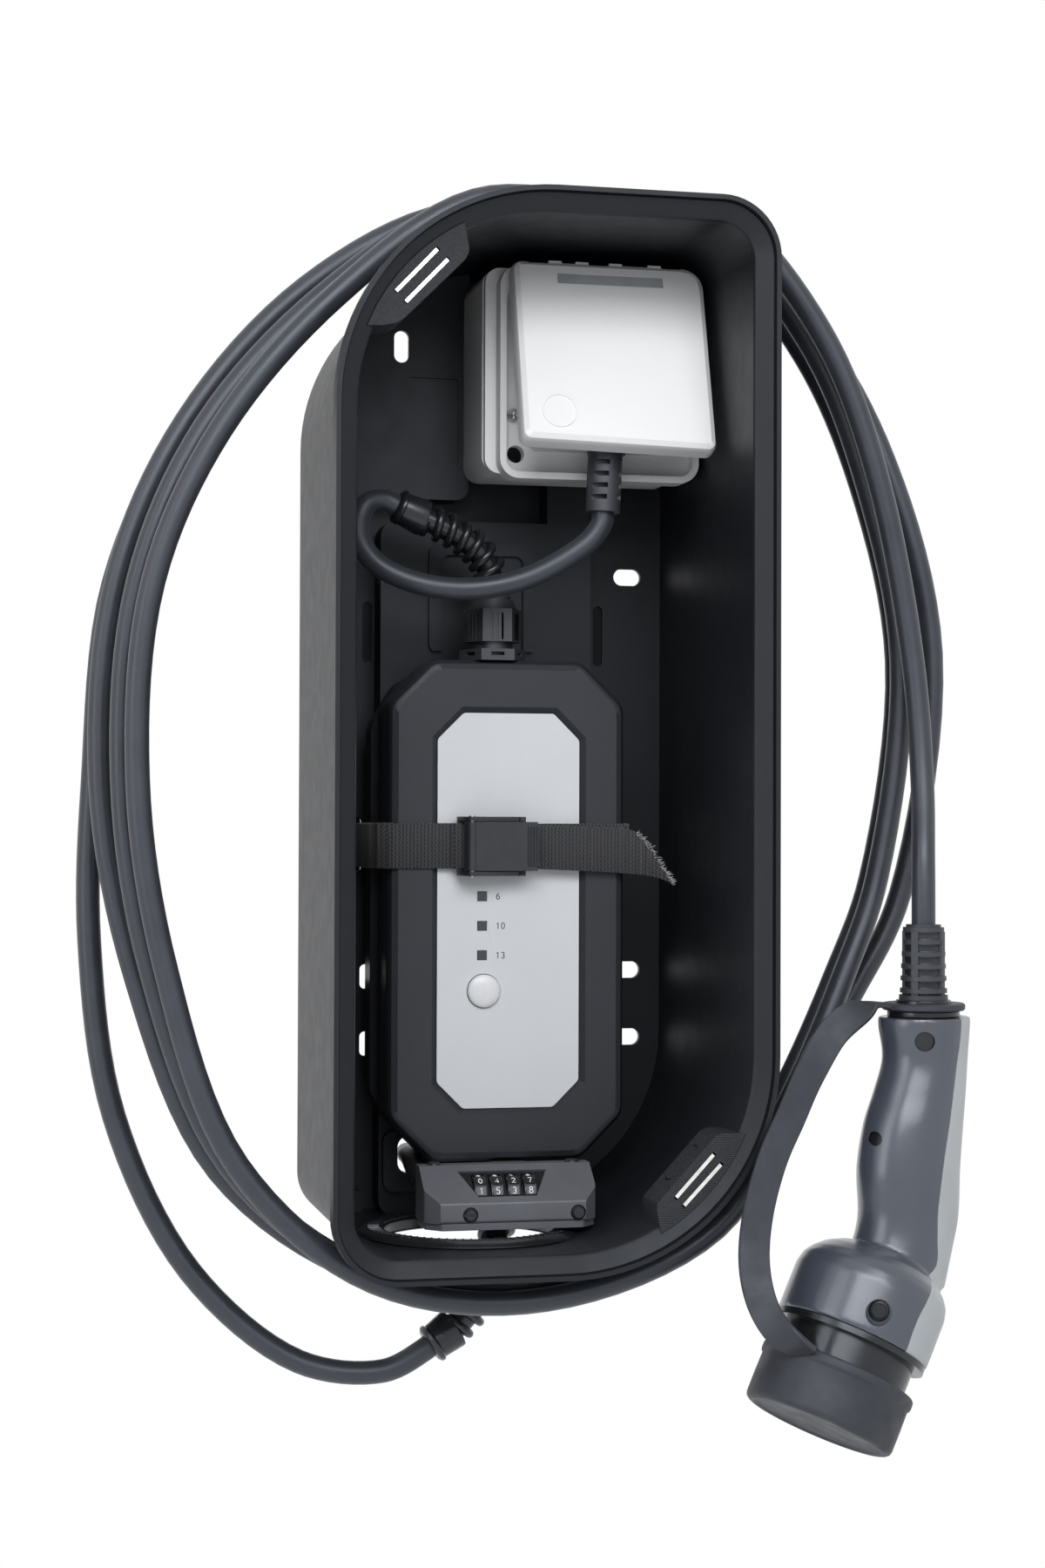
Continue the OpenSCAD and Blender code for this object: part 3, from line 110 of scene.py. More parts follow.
def new_material(name, rough, metallic=0.0, specular=0.5, coat=0.0, coat_rough=0.15, sheen=0.0):
    """A new material, with its node tree and its shader."""
    mat = bpy.data.materials.new(name)
    mat.use_nodes = True
    shader = mat.node_tree.nodes["Principled BSDF"]
    shader.inputs["Roughness"].default_value = rough
    shader.inputs["Metallic"].default_value = metallic
    shader.inputs["Specular IOR Level"].default_value = specular
    if not metallic:
        shader.inputs["Specular Tint"].default_value = COOL_GLOSS
    shader.inputs["Coat Weight"].default_value = coat
    shader.inputs["Coat Roughness"].default_value = coat_rough
    shader.inputs["Sheen Weight"].default_value = sheen
    shader.inputs["Sheen Roughness"].default_value = 0.5
    return mat, mat.node_tree, shader


def noise(tree, scale, detail=3.0, rough=0.55, stretch=(1, 1, 1)):
    """Noise in the piece's own coordinates; the scale counts its clouds in each metre."""
    coords = tree.nodes.new("ShaderNodeTexCoord")
    mapping = tree.nodes.new("ShaderNodeMapping")
    mapping.inputs["Scale"].default_value = stretch
    tex = tree.nodes.new("ShaderNodeTexNoise")
    tex.inputs["Scale"].default_value = scale
    tex.inputs["Detail"].default_value = detail
    tex.inputs["Roughness"].default_value = rough
    tree.links.new(coords.outputs["Object"], mapping.inputs["Vector"])
    tree.links.new(mapping.outputs["Vector"], tex.inputs["Vector"])
    return tex.outputs["Fac"]


def wave(tree, direction, scale):
    """Straight sine bands across one axis or a diagonal."""
    coords = tree.nodes.new("ShaderNodeTexCoord")
    tex = tree.nodes.new("ShaderNodeTexWave")
    tex.wave_type = "BANDS"
    tex.bands_direction = direction
    tex.inputs["Scale"].default_value = scale
    tree.links.new(coords.outputs["Object"], tex.inputs["Vector"])
    return tex.outputs["Fac"]


def ramp(tree, fac, stops):
    """Colour that runs through the stops, (place, colour), as fac rises."""
    node = tree.nodes.new("ShaderNodeValToRGB")
    band = node.color_ramp
    band.elements[0].position, band.elements[0].color = stops[0][0], (*stops[0][1], 1)
    band.elements[1].position, band.elements[1].color = stops[-1][0], (*stops[-1][1], 1)
    for place, colour in stops[1:-1]:
        band.elements.new(place).color = (*colour, 1)
    tree.links.new(fac, node.inputs["Fac"])
    return node.outputs["Color"]


def spread(tree, fac, low, high):
    """Number from low to high, as a noise runs through its usual range."""
    node = tree.nodes.new("ShaderNodeMapRange")
    node.inputs["From Min"].default_value = NOISE_LOW
    node.inputs["From Max"].default_value = NOISE_HIGH
    node.inputs["To Min"].default_value = low
    node.inputs["To Max"].default_value = high
    tree.links.new(fac, node.inputs["Value"])
    return node.outputs["Result"]


def overlay(tree, fac, under, over):
    """Colour node under where fac is 0, and the plain colour over where it is 1."""
    node = tree.nodes.new("ShaderNodeMix")
    node.data_type = "RGBA"
    fac_in, under_in, over_in, mixed = node.inputs[0], node.inputs[6], node.inputs[7], node.outputs[2]
    tree.links.new(fac, fac_in)
    tree.links.new(under, under_in)
    over_in.default_value = (*over, 1)
    return mixed


def total(tree, a, b, weight):
    """Sum of a and weight times b."""
    node = tree.nodes.new("ShaderNodeMath")
    node.operation = "MULTIPLY_ADD"
    tree.links.new(b, node.inputs[0])
    node.inputs[1].default_value = weight
    tree.links.new(a, node.inputs[2])
    return node.outputs[0]


def bump(tree, shader, height, depth):
    """Relief of the given depth in metres."""
    node = tree.nodes.new("ShaderNodeBump")
    node.inputs["Distance"].default_value = depth
    node.inputs["Strength"].default_value = 1.0
    tree.links.new(height, node.inputs["Height"])
    tree.links.new(node.outputs["Normal"], shader.inputs["Normal"])


def moulded(name, colour, rough, grain=1600.0, depth=0.00006, mottle=0.12, rough_spread=0.08, **kind):
    """Moulded plastic or rubber: faint colour and gloss variation over a fine grain."""
    mat, tree, shader = new_material(name, rough, **kind)
    clouds = noise(tree, 28.0, 5.0, 0.6)
    dark = tuple(c * (1 - mottle) for c in colour)
    light = tuple(min(c * (1 + mottle), 1.0) for c in colour)
    tree.links.new(ramp(tree, clouds, ((NOISE_LOW, dark), (NOISE_HIGH, light))), shader.inputs["Base Color"])
    tree.links.new(spread(tree, noise(tree, 90.0, 4.0), rough - rough_spread, rough + rough_spread),
                   shader.inputs["Roughness"])
    bump(tree, shader, noise(tree, grain, 2.0), depth)
    return mat


def cable_sheath(name, colour):
    """Rubber sheath with faint clouds and dusty scuffs."""
    mat, tree, shader = new_material(name, 0.39, specular=0.5, sheen=0.06)
    clouds = noise(tree, 34.0, 6.0, 0.65)
    scuffs = noise(tree, 260.0, 5.0, 0.7)
    dark = tuple(c * 0.82 for c in colour)
    light = tuple(c * 1.16 for c in colour)
    dusty = tuple(c * 1.5 for c in colour)
    base = ramp(tree, clouds, ((NOISE_LOW, dark), (NOISE_HIGH, light)))
    marks = ramp(tree, scuffs, ((0.6, (0, 0, 0)), (0.78, (1, 1, 1))))
    worn = overlay(tree, marks, base, dusty)
    tree.links.new(worn, shader.inputs["Base Color"])
    tree.links.new(spread(tree, clouds, 0.32, 0.46), shader.inputs["Roughness"])
    bump(tree, shader, noise(tree, 900.0, 3.0), 0.00003)
    return mat


def brushed(name, colour, rough=0.28):
    """Metal with streaks along X."""
    mat, tree, shader = new_material(name, rough, metallic=1.0)
    streaks = noise(tree, 600.0, 3.0, 0.6, (0.15, 1.0, 1.0))
    tree.links.new(ramp(tree, streaks, ((0.25, tuple(c * 0.8 for c in colour)), (0.75, colour))),
                   shader.inputs["Base Color"])
    tree.links.new(spread(tree, streaks, rough - 0.08, rough + 0.12), shader.inputs["Roughness"])
    bump(tree, shader, streaks, 0.00002)
    return mat


def printed(name, colour):
    """Printed plastic: thin layer lines under a coarse speckle."""
    mat, tree, shader = new_material(name, 0.62, specular=0.4)
    speckle = noise(tree, 1500.0, 4.0, 0.7)
    base = ramp(tree, speckle, ((0.32, tuple(c * 0.6 for c in colour)), (0.5, colour),
                                (0.72, tuple(min(c * 1.9, 1) for c in colour))))
    tree.links.new(base, shader.inputs["Base Color"])
    layers = wave(tree, "Z", 420.0)
    bump(tree, shader, total(tree, layers, speckle, 1.2), 0.00016)
    return mat


def webbing(name, colour):
    """Flat woven band: crossways ribs with a fine twill along them; painted shade in their valleys, painted
    highlight on their crests.
    """
    mat, tree, shader = new_material(name, 0.75, specular=0.35, sheen=0.25)
    ribs = wave(tree, "X", 190.0)
    twill = wave(tree, "DIAGONAL", 330.0)
    height = total(tree, ribs, twill, 0.6)
    # Painted shade in the valleys of the ribs and twill, and a painted highlight on their crests, following
    # the relief
    shaded_valley = tuple(c * 0.45 for c in colour)
    lit_crest = tuple(c * 1.7 for c in colour)
    base = ramp(tree, height, ((0.2, shaded_valley), (1.0, lit_crest)))
    tree.links.new(base, shader.inputs["Base Color"])
    bump(tree, shader, height, 0.0003)
    return mat


def clear_window(name):
    """Clear plastic, part see-through."""
    mat, tree, shader = new_material(name, 0.12, specular=0.6)
    base = ramp(tree, noise(tree, 60.0), ((NOISE_LOW, (0.5, 0.54, 0.57)), (NOISE_HIGH, (0.6, 0.64, 0.67))))
    tree.links.new(base, shader.inputs["Base Color"])
    shader.inputs["Transmission Weight"].default_value = 0.35
    return mat


MATERIALS = {
    "shell_black": moulded("shell_black", (0.0085, 0.0092, 0.0115), 0.46, 1300.0, 0.000012, 0.05, 0.03,
                           specular=0.3),
    "printed_grey": printed("printed_grey", (0.018, 0.0188, 0.022)),
    "steel_strip": brushed("steel_strip", (0.86, 0.86, 0.85), 0.35),
    "trim_rubber": moulded("trim_rubber", (0.016, 0.016, 0.018), 0.5),
    "socket_white": moulded("socket_white", (0.76, 0.765, 0.78), 0.48, 1100.0, 0.00002, 0.012, 0.04,
                            specular=0.3),
    "socket_grey": moulded("socket_grey", (0.6, 0.61, 0.63), 0.42, 1100.0, 0.00004, 0.02, 0.04),
    "clear_window": clear_window("clear_window"),
    "seal_grey": moulded("seal_grey", (0.1, 0.1, 0.11), 0.7),
    "bare_steel": brushed("bare_steel", (0.66, 0.67, 0.69)),
    "brass": brushed("brass", (0.78, 0.62, 0.32)),
    "plug_rubber": moulded("plug_rubber", (0.036, 0.038, 0.045), 0.46, 1200.0, 0.00003),
    "cable_rubber": cable_sheath("cable_rubber", (0.029, 0.032, 0.041)),
    "gland_plastic": moulded("gland_plastic", (0.035, 0.037, 0.042), 0.38),
    "relief_black": moulded("relief_black", (0.014, 0.0145, 0.016), 0.24, 500.0, 0.00004, 0.1, 0.06),
    "charger_rear": moulded("charger_rear", (0.003, 0.0032, 0.004), 0.36, 1500.0, 0.00003, specular=0.15),
    "charger_front": moulded("charger_front", (0.029, 0.0305, 0.036), 0.46, 1500.0, 0.00004, 0.06, 0.04,
                             specular=0.3),
    "label_silver": moulded("label_silver", (0.63, 0.65, 0.68), 0.4, 2200.0, 0.00003, 0.02, 0.05),
    "led_grey": moulded("led_grey", (0.05, 0.05, 0.054), 0.2, 900.0, 0.00002),
    "button_silver": moulded("button_silver", (0.74, 0.75, 0.77), 0.28, 900.0, 0.00002, 0.02, 0.04),
    "board_green": moulded("board_green", (0.03, 0.16, 0.07), 0.4),
    "relay_dark": moulded("relay_dark", (0.03, 0.035, 0.06), 0.4),
    "webbing_black": webbing("webbing_black", (0.028, 0.028, 0.031)),
    "buckle_black": moulded("buckle_black", (0.02, 0.02, 0.022), 0.32, 900.0, 0.00006),
    "lock_black": moulded("lock_black", (0.1, 0.104, 0.119), 0.42, 1500.0, 0.00004),
    "dial_white": moulded("dial_white", (0.02, 0.02, 0.022), 0.3, 900.0, 0.00003),
    "lock_dark": moulded("lock_dark", (0.02, 0.021, 0.025), 0.3, 900.0, 0.00004),
    "lock_cable_black": moulded("lock_cable_black", (0.012, 0.012, 0.014), 0.3, 700.0, 0.00004),
    "connector_slate": moulded("connector_slate", (0.05, 0.057, 0.077), 0.3, 900.0, 0.00001, 0.04, 0.03,
                               coat=0.7, coat_rough=0.22),
    "connector_light": moulded("connector_light", (0.4, 0.425, 0.445), 0.42, 1300.0, 0.00006, 0.04),
    "nose_black": moulded("nose_black", (0.012, 0.012, 0.014), 0.2, 700.0, 0.00002),
    "cap_rubber": moulded("cap_rubber", (0.026, 0.0285, 0.036), 0.58, 700.0, 0.00006, 0.3, 0.1),
    "figure_grey": moulded("figure_grey", (0.07, 0.073, 0.08), 0.5, 900.0, 0.00002),
    "figure_white": moulded("figure_white", (0.75, 0.76, 0.78), 0.45, 900.0, 0.00002),
    "fray_grey": moulded("fray_grey", (0.42, 0.42, 0.43), 0.7, 900.0, 0.00002, 0.3),
}

for part in frame["record"]["subparts"]:
    for material_slot in nodes[part["node"]].material_slots:
        material_slot.material = MATERIALS[part["material_slot"]]


# Pieces
def add_piece(name, data, slot, body="holder", replaces=(), finish=None):
    """Links a new piece and lets it ride on its body; finish is a material other than its slot's."""
    piece = bpy.data.objects.new(name, data)
    bpy.context.scene.collection.objects.link(piece)
    data.materials.clear()
    data.materials.append(MATERIALS[finish or slot])
    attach(piece, body)
    if replaces:
        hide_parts(*replaces)
    return piece


def smooth_path(points, steps=8):
    """Curve through the points, with steps pieces on each stretch between two of them."""
    points = [Vector(p) for p in points]
    ends = [points[0] * 2 - points[1], *points, points[-1] * 2 - points[-2]]
    path = []
    for a, b, c, d in zip(ends, ends[1:], ends[2:], ends[3:]):
        t1 = (b - a).length ** 0.5
        t2 = t1 + (c - b).length ** 0.5
        t3 = t2 + (d - c).length ** 0.5
        for i in range(steps):
            t = t1 + (t2 - t1) * i / steps
            p = a * ((t1 - t) / t1) + b * (t / t1)
            q = b * ((t2 - t) / (t2 - t1)) + c * ((t - t1) / (t2 - t1))
            r = c * ((t3 - t) / (t3 - t2)) + d * ((t - t2) / (t3 - t2))
            u = p * ((t2 - t) / t2) + q * (t / t2)
            v = q * ((t3 - t) / (t3 - t1)) + r * ((t - t1) / (t3 - t1))
            path.append(u * ((t2 - t) / (t2 - t1)) + v * ((t - t1) / (t2 - t1)))
    return path + [points[-1]]


# Blender's bevel resolution of the cords' tubes
TUBE_ROUNDNESS = 7


def add_tube(name, path, diameter, slot, replaces):
    """Round tube along a path, as a curve object; the diameter is in mm."""
    data = bpy.data.curves.new(name, "CURVE")
    data.dimensions = "3D"
    data.bevel_depth = diameter / 2 * MM
    data.bevel_resolution = TUBE_ROUNDNESS
    data.use_fill_caps = True
    spline = data.splines.new("POLY")
    spline.points.add(len(path) - 1)
    for point, place in zip(spline.points, path):
        point.co = (*place, 1)
    return add_piece(name, data, slot, replaces=replaces)


# Cords, all given in mm from the shell's middle
CABLE_D = 10.4
LEAD_D = 10
LOCK_CABLE_D = 9.2
# Middle of the connector's collar, seen from above
CONN_X = 164.6
CONN_Y = -150

# (x, z) of one turn of the coil, seen from the front, clockwise from its lowest point
COIL_TURN = ((0, -242), (-73, -229), (-131, -181), (-162, -100), (-174, -20), (-168, 62), (-140, 127),
             (-90, 184), (-31, 227), (28, 230), (72, 230.5), (92, 219.5), (128, 173), (151, 114), (167, 35),
             (155, -62), (138, -105), (112, -158), (76, -214))
# y at the bottom, left, top and right of each turn
TURN_Y = ((-95, -66, -46, -88), (-108, -86, -73, -102), (-121, -106, -100, -116), (-134, -125, -127, -130))
# How far each turn bulges beyond the common shape, point by point
TURN_OUT = ((0, 0, 0, 0, 15, 13, 12, 9, 6, 15, 11, 13, 20, 25, 26, 23, 17, 9, 2),
            (0, 4, 9, 11, 13, 13, 14, 16, 8, 2, 2, 2, 2, 3, 3, 2, 1, 0, 0),
            (0, 2, 4, 5, 5, 5, 6, 7, 4, 1, 0, 0, 0, 0, 0, 0, 0, 0, 0),
            (0, 3.4, 1.6, 0, 0, 0, 0, 2.2, 2.2) + (0,) * 10)
# Points of a turn at which its bottom, left, top and right are reached
QUARTERS = (0, 4, 9, 14, 19)


def coil_point(turn, i):
    """Point i of a turn of the coil, which eases from quarter to quarter towards and from the wall."""
    quarter = max(q for q in range(4) if QUARTERS[q] <= i)
    part = (i - QUARTERS[quarter]) / (QUARTERS[quarter + 1] - QUARTERS[quarter])
    y_from = TURN_Y[turn][quarter]
    y_to = TURN_Y[turn][quarter + 1] if quarter < 3 else TURN_Y[min(turn + 1, 3)][0]
    x, z = COIL_TURN[i]
    out = 1 + TURN_OUT[turn][i] / math.hypot(x, z)
    return (x * out, y_from + (y_to - y_from) * (1 - math.cos(math.pi * part)) / 2, z * out)


def cable_route():
    """Charging cable from its spiral relief below the floor, round the coil and down to the connector."""
    route = [(-42, -87, -269), (-44.48, -87.21, -270.67), (-62, -85.4, -279.4), (-99, -79, -275),
             (-146, -73, -235), (-179, -68, -167), (-190, -66, -90)]
    for turn, first, last in ((0, 4, 18), (1, 0, 18), (2, 0, 18), (3, 0, 14)):
        route += [coil_point(turn, i) for i in range(first, last + 1)]
    route += [(169.4, -136, -20), (165.4, -147.6, -54), (CONN_X, CONN_Y, -74), (CONN_X, CONN_Y, -82)]
    return [at(*p) for p in route]


LEAD_ROUTE = [at(*p) for p in (
    (35.6, -88, 101), (35.41, -88.07, 97), (31, -87.6, 89.6), (19.5, -86.6, 80.6), (0, -84.6, 70.6),
    (-24, -81, 66), (-47, -76.6, 68.6), (-64, -71.6, 77), (-71, -66.6, 88), (-70.8, -62.4, 98),
    (-66.4, -59.4, 105.4), (-58.55, -56.89, 107.43), (-53, -56.4, 105.2))]
LOCK_ROUTE = [at(*p) for p in (
    (-43, -87, -199), (-43, -78, -199), (-42.8, -66, -198), (-41.8, -50, -195.6), (-40.4, -30, -193),
    (-40, -16, -192.5))]


def add_cords():
    """Makes the three cords."""
    add_tube("cable_tube", smooth_path(cable_route()), CABLE_D, "cable_rubber", ("charging_cable",))
    path = smooth_path(LEAD_ROUTE)
    lead = add_tube("lead_tube", path, LEAD_D, "cable_rubber", ("mains_lead",))
    path = smooth_path(LOCK_ROUTE)
    lock = add_tube("lock_cable_tube", path, LOCK_CABLE_D, "lock_cable_black", ("lock_cable",))


add_cords()


# Mesh helpers
def carried_frames(path):
    """Unit tangent, side and upward directions along a path, turned as little as possible."""
    tangents = []
    for i in range(len(path)):
        step = path[min(i + 1, len(path) - 1)] - path[max(i - 1, 0)]
        tangents.append(step.normalized())
    side = tangents[0].orthogonal().normalized()
    frames = []
    for tangent in tangents:
        side = (side - tangent * side.dot(tangent)).normalized()
        frames.append((tangent, side, tangent.cross(side)))
    return frames


def loft(rings, capped=True, loop=False):
    """Vertices and faces that join rings of equally many points; a loop's last ring joins its first."""
    count = len(rings[0])
    verts = [p for ring in rings for p in ring]
    faces = []
    for i in range(len(rings) if loop else len(rings) - 1):
        n = (i + 1) % len(rings)
        for k in range(count):
            m = (k + 1) % count
            faces.append((i * count + k, i * count + m, n * count + m, n * count + k))
    if capped and not loop:
        faces.append(tuple(reversed(range(count))))
        faces.append(tuple(range((len(rings) - 1) * count, len(rings) * count)))
    return verts, faces


def ring_angles(sides):
    """Angles of the corners of a ring."""
    return [2 * math.pi * k / sides for k in range(sides)]


def circle_ring(centre, side, up, radius, sides):
    """Points of a circle round a centre, in metres."""
    return [centre + radius * (math.cos(a) * side + math.sin(a) * up) for a in ring_angles(sides)]


def sweep(path, radii, sides=24):
    """Round sweep along a path; radii is one number or one for each point."""
    if isinstance(radii, (int, float)):
        radii = [radii] * len(path)
    return loft([circle_ring(p, side, up, r, sides)
                 for p, r, (_, side, up) in zip(path, radii, carried_frames(path))])


def lathe(profile, start, axis, sides, capped=True):
    """Turned solid; profile lists (distance along the axis, radius) in mm."""
    axis = Vector(axis).normalized()
    side = axis.orthogonal().normalized()
    up = axis.cross(side)
    return loft([circle_ring(start + axis * d * MM, side, up, r * MM, sides) for d, r in profile], capped)


def helix(path, grow, turns, begin):
    """Wire wound round the part of a path after the share begin, wider by grow at its end."""
    frames = carried_frames(path)
    count = int(turns * WIRE_STEPS)
    points = []
    far = [0.0]
    for a, b in zip(path, path[1:]):
        far.append(far[-1] + (b - a).length)
    k = 0
    for i in range(count + 1):
        place = (begin + (1 - begin) * i / count) * far[-1]
        while k < len(path) - 2 and far[k + 1] < place:
            k += 1
        part = min((place - far[k]) / (far[k + 1] - far[k]), 1.0)
        centre = path[k].lerp(path[k + 1], part)
        side = frames[k][1].lerp(frames[k + 1][1], part).normalized()
        up = frames[k][2].lerp(frames[k + 1][2], part).normalized()
        turn = 2 * math.pi * turns * i / count
        reach = WIRE_REACH + grow * i / count
        points.append(centre + reach * (math.cos(turn) * side + math.sin(turn) * up))
    return sweep(points, WIRE_R, WIRE_SIDES)


def joined(parts):
    """Vertices and faces of several parts as one list of each."""
    verts, faces = [], []
    for part_verts, part_faces in parts:
        first = len(verts)
        verts += part_verts
        faces += [tuple(first + k for k in face) for face in part_faces]
    return verts, faces


def mesh_data(name, parts):
    """Mesh of one or more (vertices, faces) parts, with its faces turned outwards."""
    verts, faces = joined(parts)
    data = bpy.data.meshes.new(name)
    data.from_pydata([tuple(v) for v in verts], [], faces)
    tidy = bmesh.new()
    tidy.from_mesh(data)
    bmesh.ops.recalc_face_normals(tidy, faces=tidy.faces)
    tidy.to_mesh(data)
    tidy.free()
    return data


def bake(thing):
    """Applies an object's modifiers."""
    bpy.context.view_layer.update()
    graph = bpy.context.evaluated_depsgraph_get()
    data = bpy.data.meshes.new_from_object(thing.evaluated_get(graph))
    thing.modifiers.clear()
    old = thing.data
    thing.data = data
    bpy.data.meshes.remove(old)


def settle(piece, sharp):
    """Applies a piece's modifiers and shades it smooth up to the sharp angle."""
    bake(piece)
    piece.data.shade_smooth()
    piece.data.set_sharp_from_angle(angle=math.radians(sharp))


def add_mesh(name, parts, slot, body="holder", replaces=(), sharp=35.0, finish=None):
    """One piece from one or more (vertices, faces) parts."""
    piece = add_piece(name, mesh_data(name, parts), slot, body, replaces, finish)
    settle(piece, sharp)


def soften(node, width, segments=2, angle=30.0, sharp=40.0):
    """Copy of a CAD node that stands for it, with its edges above the angle rounded."""
    record = next(p for p in frame["record"]["subparts"] if p["node"] == node)
    data = nodes[node].data.copy()
    data.name = node + "_soft"
    clean = bmesh.new()
    clean.from_mesh(data)
    bmesh.ops.remove_doubles(clean, verts=clean.verts, dist=0.000002)
    bmesh.ops.dissolve_limit(clean, angle_limit=math.radians(1.0), verts=clean.verts, edges=clean.edges)
    clean.to_mesh(data)
    clean.free()
    piece = add_piece(node + "_soft", data, record["material_slot"], nodes[node]["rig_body"], (node,))
    edge = piece.modifiers.new("edges", "BEVEL")
    edge.width = width * MM
    edge.segments = segments
    edge.limit_method = "ANGLE"
    edge.angle_limit = math.radians(angle)
    edge.harden_normals = False
    edge.miter_outer = "MITER_ARC"
    settle(piece, sharp)
    even = piece.modifiers.new("shading", "WEIGHTED_NORMAL")
    even.keep_sharp = True
    even.weight = 90


# Bend reliefs and floor ring
INLET_PATH = [at(*p) for p in (
    (-7.3, -52, 65.4), (-7.3, -52, 71.6), (-9.6, -52.7, 78.6), (-13.6, -53.4, 84.6), (-18.8, -54, 89.4),
    (-24.6, -54.5, 93.2), (-30.8, -54.9, 96.2), (-39.5, -55.2, 99.8))]
INLET_COLLAR = (at(-53, -56.4, 105.2), at(-39.3, -55.2, 99.7))
OUTLET_PATH = [at(*p) for p in (
    (-1.6, -52, -198), (-1.6, -52, -204.5), (-3.2, -58.8, -209), (-5.4, -65.6, -213), (-8, -71, -218.6),
    (-9.8, -76, -226), (-11.6, -80, -235), (-15, -82.6, -244.4), (-21.6, -84.4, -252.6),
    (-30.6, -86, -261.4))]
OUTLET_COLLAR = (at(-42, -87, -269), at(-30.4, -86, -261.2))
# Spiral wire of the reliefs: distance from the middle, radius, sides, and steps in each turn
WIRE_REACH = 6.5 * MM
WIRE_R = 1.95 * MM
WIRE_SIDES = 12
WIRE_STEPS = 28
RING_MIDDLE = at(-24, -85, -219.9)
# (height, radius) round the floor ring's section, from its inner lower edge
RING = ((-2.8, 37.8), (-3.2, 38.3), (-3.2, 38.95), (1.5, 38.95), (1.5, 45.1), (0.05, 45.3), (0.05, 49.4),
        (0.7, 49.9), (1.2, 49.5), (2.9, 46.4), (3.1, 45.4), (3.1, 39.2), (2.8, 38.2), (1.9, 37.6))
RING_RIBS = 72


def collar_parts(start, end, radius):
    """Moulded sleeve with a lip at both ends."""
    length = (end - start).length / MM
    profile = [(0, LEAD_D / 2 - 0.4), (0.2, radius - 1.6), (1.2, radius - 0.2), (2.6, radius),
               (3.4, radius - 0.9), (length - 1.6, radius), (length - 0.5, radius - 0.1),
               (length, radius - 1.4), (length, 3.0)]
    return lathe(profile, start, end - start, 48)


def add_reliefs():
    """Spiral reliefs of the mains lead and the charging cable, each with the collar at its end."""
    path = smooth_path(INLET_PATH, 6)
    add_mesh("inlet_coil", [sweep(path, 5.3 * MM, 28), helix(path, grow=-0.4 * MM, turns=6.6, begin=0.16),
                            collar_parts(*INLET_COLLAR, 8.4)],
             "relief_black", replaces=("inlet_relief",), sharp=50)
    path = smooth_path(OUTLET_PATH, 6)
    add_mesh("outlet_coil", [sweep(path, 5.7 * MM, 28), helix(path, grow=0.3 * MM, turns=9.0, begin=0.27),
                             collar_parts(*OUTLET_COLLAR, 9)],
             "relief_black", replaces=("outlet_relief",), sharp=50)


def add_floor_ring():
    """Soft ring pressed into the floor outlet, with shallow ribs round its top."""
    parts = [lathe(RING, RING_MIDDLE, (0, 0, 1), 120, capped=False)]
    for turn in ring_angles(RING_RIBS):
        out = Vector((math.cos(turn), math.sin(turn), 0))
        rib = [RING_MIDDLE + out * r * MM + Vector((0, 0, 3.05 * MM)) for r in (39.8, 44.8)]
        parts.append(sweep(rib, 0.45 * MM, 8))
    add_mesh("floor_ring", parts, "relief_black", replaces=("floor_grommet",), sharp=40)


add_reliefs()
add_floor_ring()


# Cutting and blending of solids
def loose(name, parts):
    """Mesh object that only serves to build others."""
    thing = bpy.data.objects.new(name, mesh_data(name, parts))
    bpy.context.scene.collection.objects.link(thing)
    return thing


def merge(thing, tools, operation):
    """Boolean of a loose object with others, which are used up."""
    for tool in tools:
        step = thing.modifiers.new("step", "BOOLEAN")
        step.operation = operation
        step.solver = "EXACT"
        step.object = tool
    bake(thing)
    for tool in tools:
        data = tool.data
        bpy.data.objects.remove(tool)
        bpy.data.meshes.remove(data)


def melt(thing, voxel, rounds):
    """Turns a loose object into one skin whose creases are smoothed over; the voxel is in mm."""
    skin = thing.modifiers.new("skin", "REMESH")
    skin.mode = "VOXEL"
    skin.voxel_size = voxel * MM
    relax = thing.modifiers.new("relax", "SMOOTH")
    relax.factor = 0.5
    relax.iterations = rounds
    bake(thing)


def finish_piece(thing, slot, replaces):
    """Makes a loose object a piece of the model."""
    name = thing.name
    data = thing.data
    bpy.data.objects.remove(thing)
    data.name = name
    piece = add_piece(name, data, slot, replaces=replaces)
    settle(piece, 35.0)


# Connector
# Its turn about the vertical, the lean of its nose, and the middle of the nose's flange in its own frame
CONN_TURN = math.radians(22.9)
NOSE_LEAN = math.radians(29.2)
FLANGE_X = -42.3
FLANGE_Z = -257.9
# (x, z, width, depth) of the handle in the connector's own frame, from the collar down into the head
GRIP = ((0.4, -122, 41.8, 37.4), (0.4, -127, 41.6, 37.2), (0.8, -140, 38.9, 35), (-2.1, -153.5, 42.4, 36.6),
        (-6.1, -168.3, 46.8, 39), (-8.9, -187, 48.6, 39.9), (-9.1, -207.3, 47, 39.2), (-13, -221, 47.6, 39.8),
        (-20, -238, 50, 43))
# (distance behind the nose's flange, radius) of the head
HEAD = ((0, 32.6), (0.3, 33.2), (0.9, 33.6), (12, 33.7), (22, 33.7), (27, 32.6), (30.6, 30.2), (34.6, 26),
        (38, 20), (40, 8))
# Seam between body and spine, in the connector's middle plane
SEAM = ((4.4, -110), (4.4, -126.5), (3.3, -138.8), (-1.6, -159.8), (-7, -181), (-10.4, -201.9), (-11, -215.6),
        (-12.4, -227), (-25.4, -233.7), (-33.6, -241.6), (-39.6, -251.4), (-45, -264))
# (x, y, z, radius) of the screws' wells
CONN_SCREWS = ((-12.5, -13.8, -131.6, 4.3), (-30.4, -2.1, -173, 3), (-53.1, -28.6, -241, 5.4))
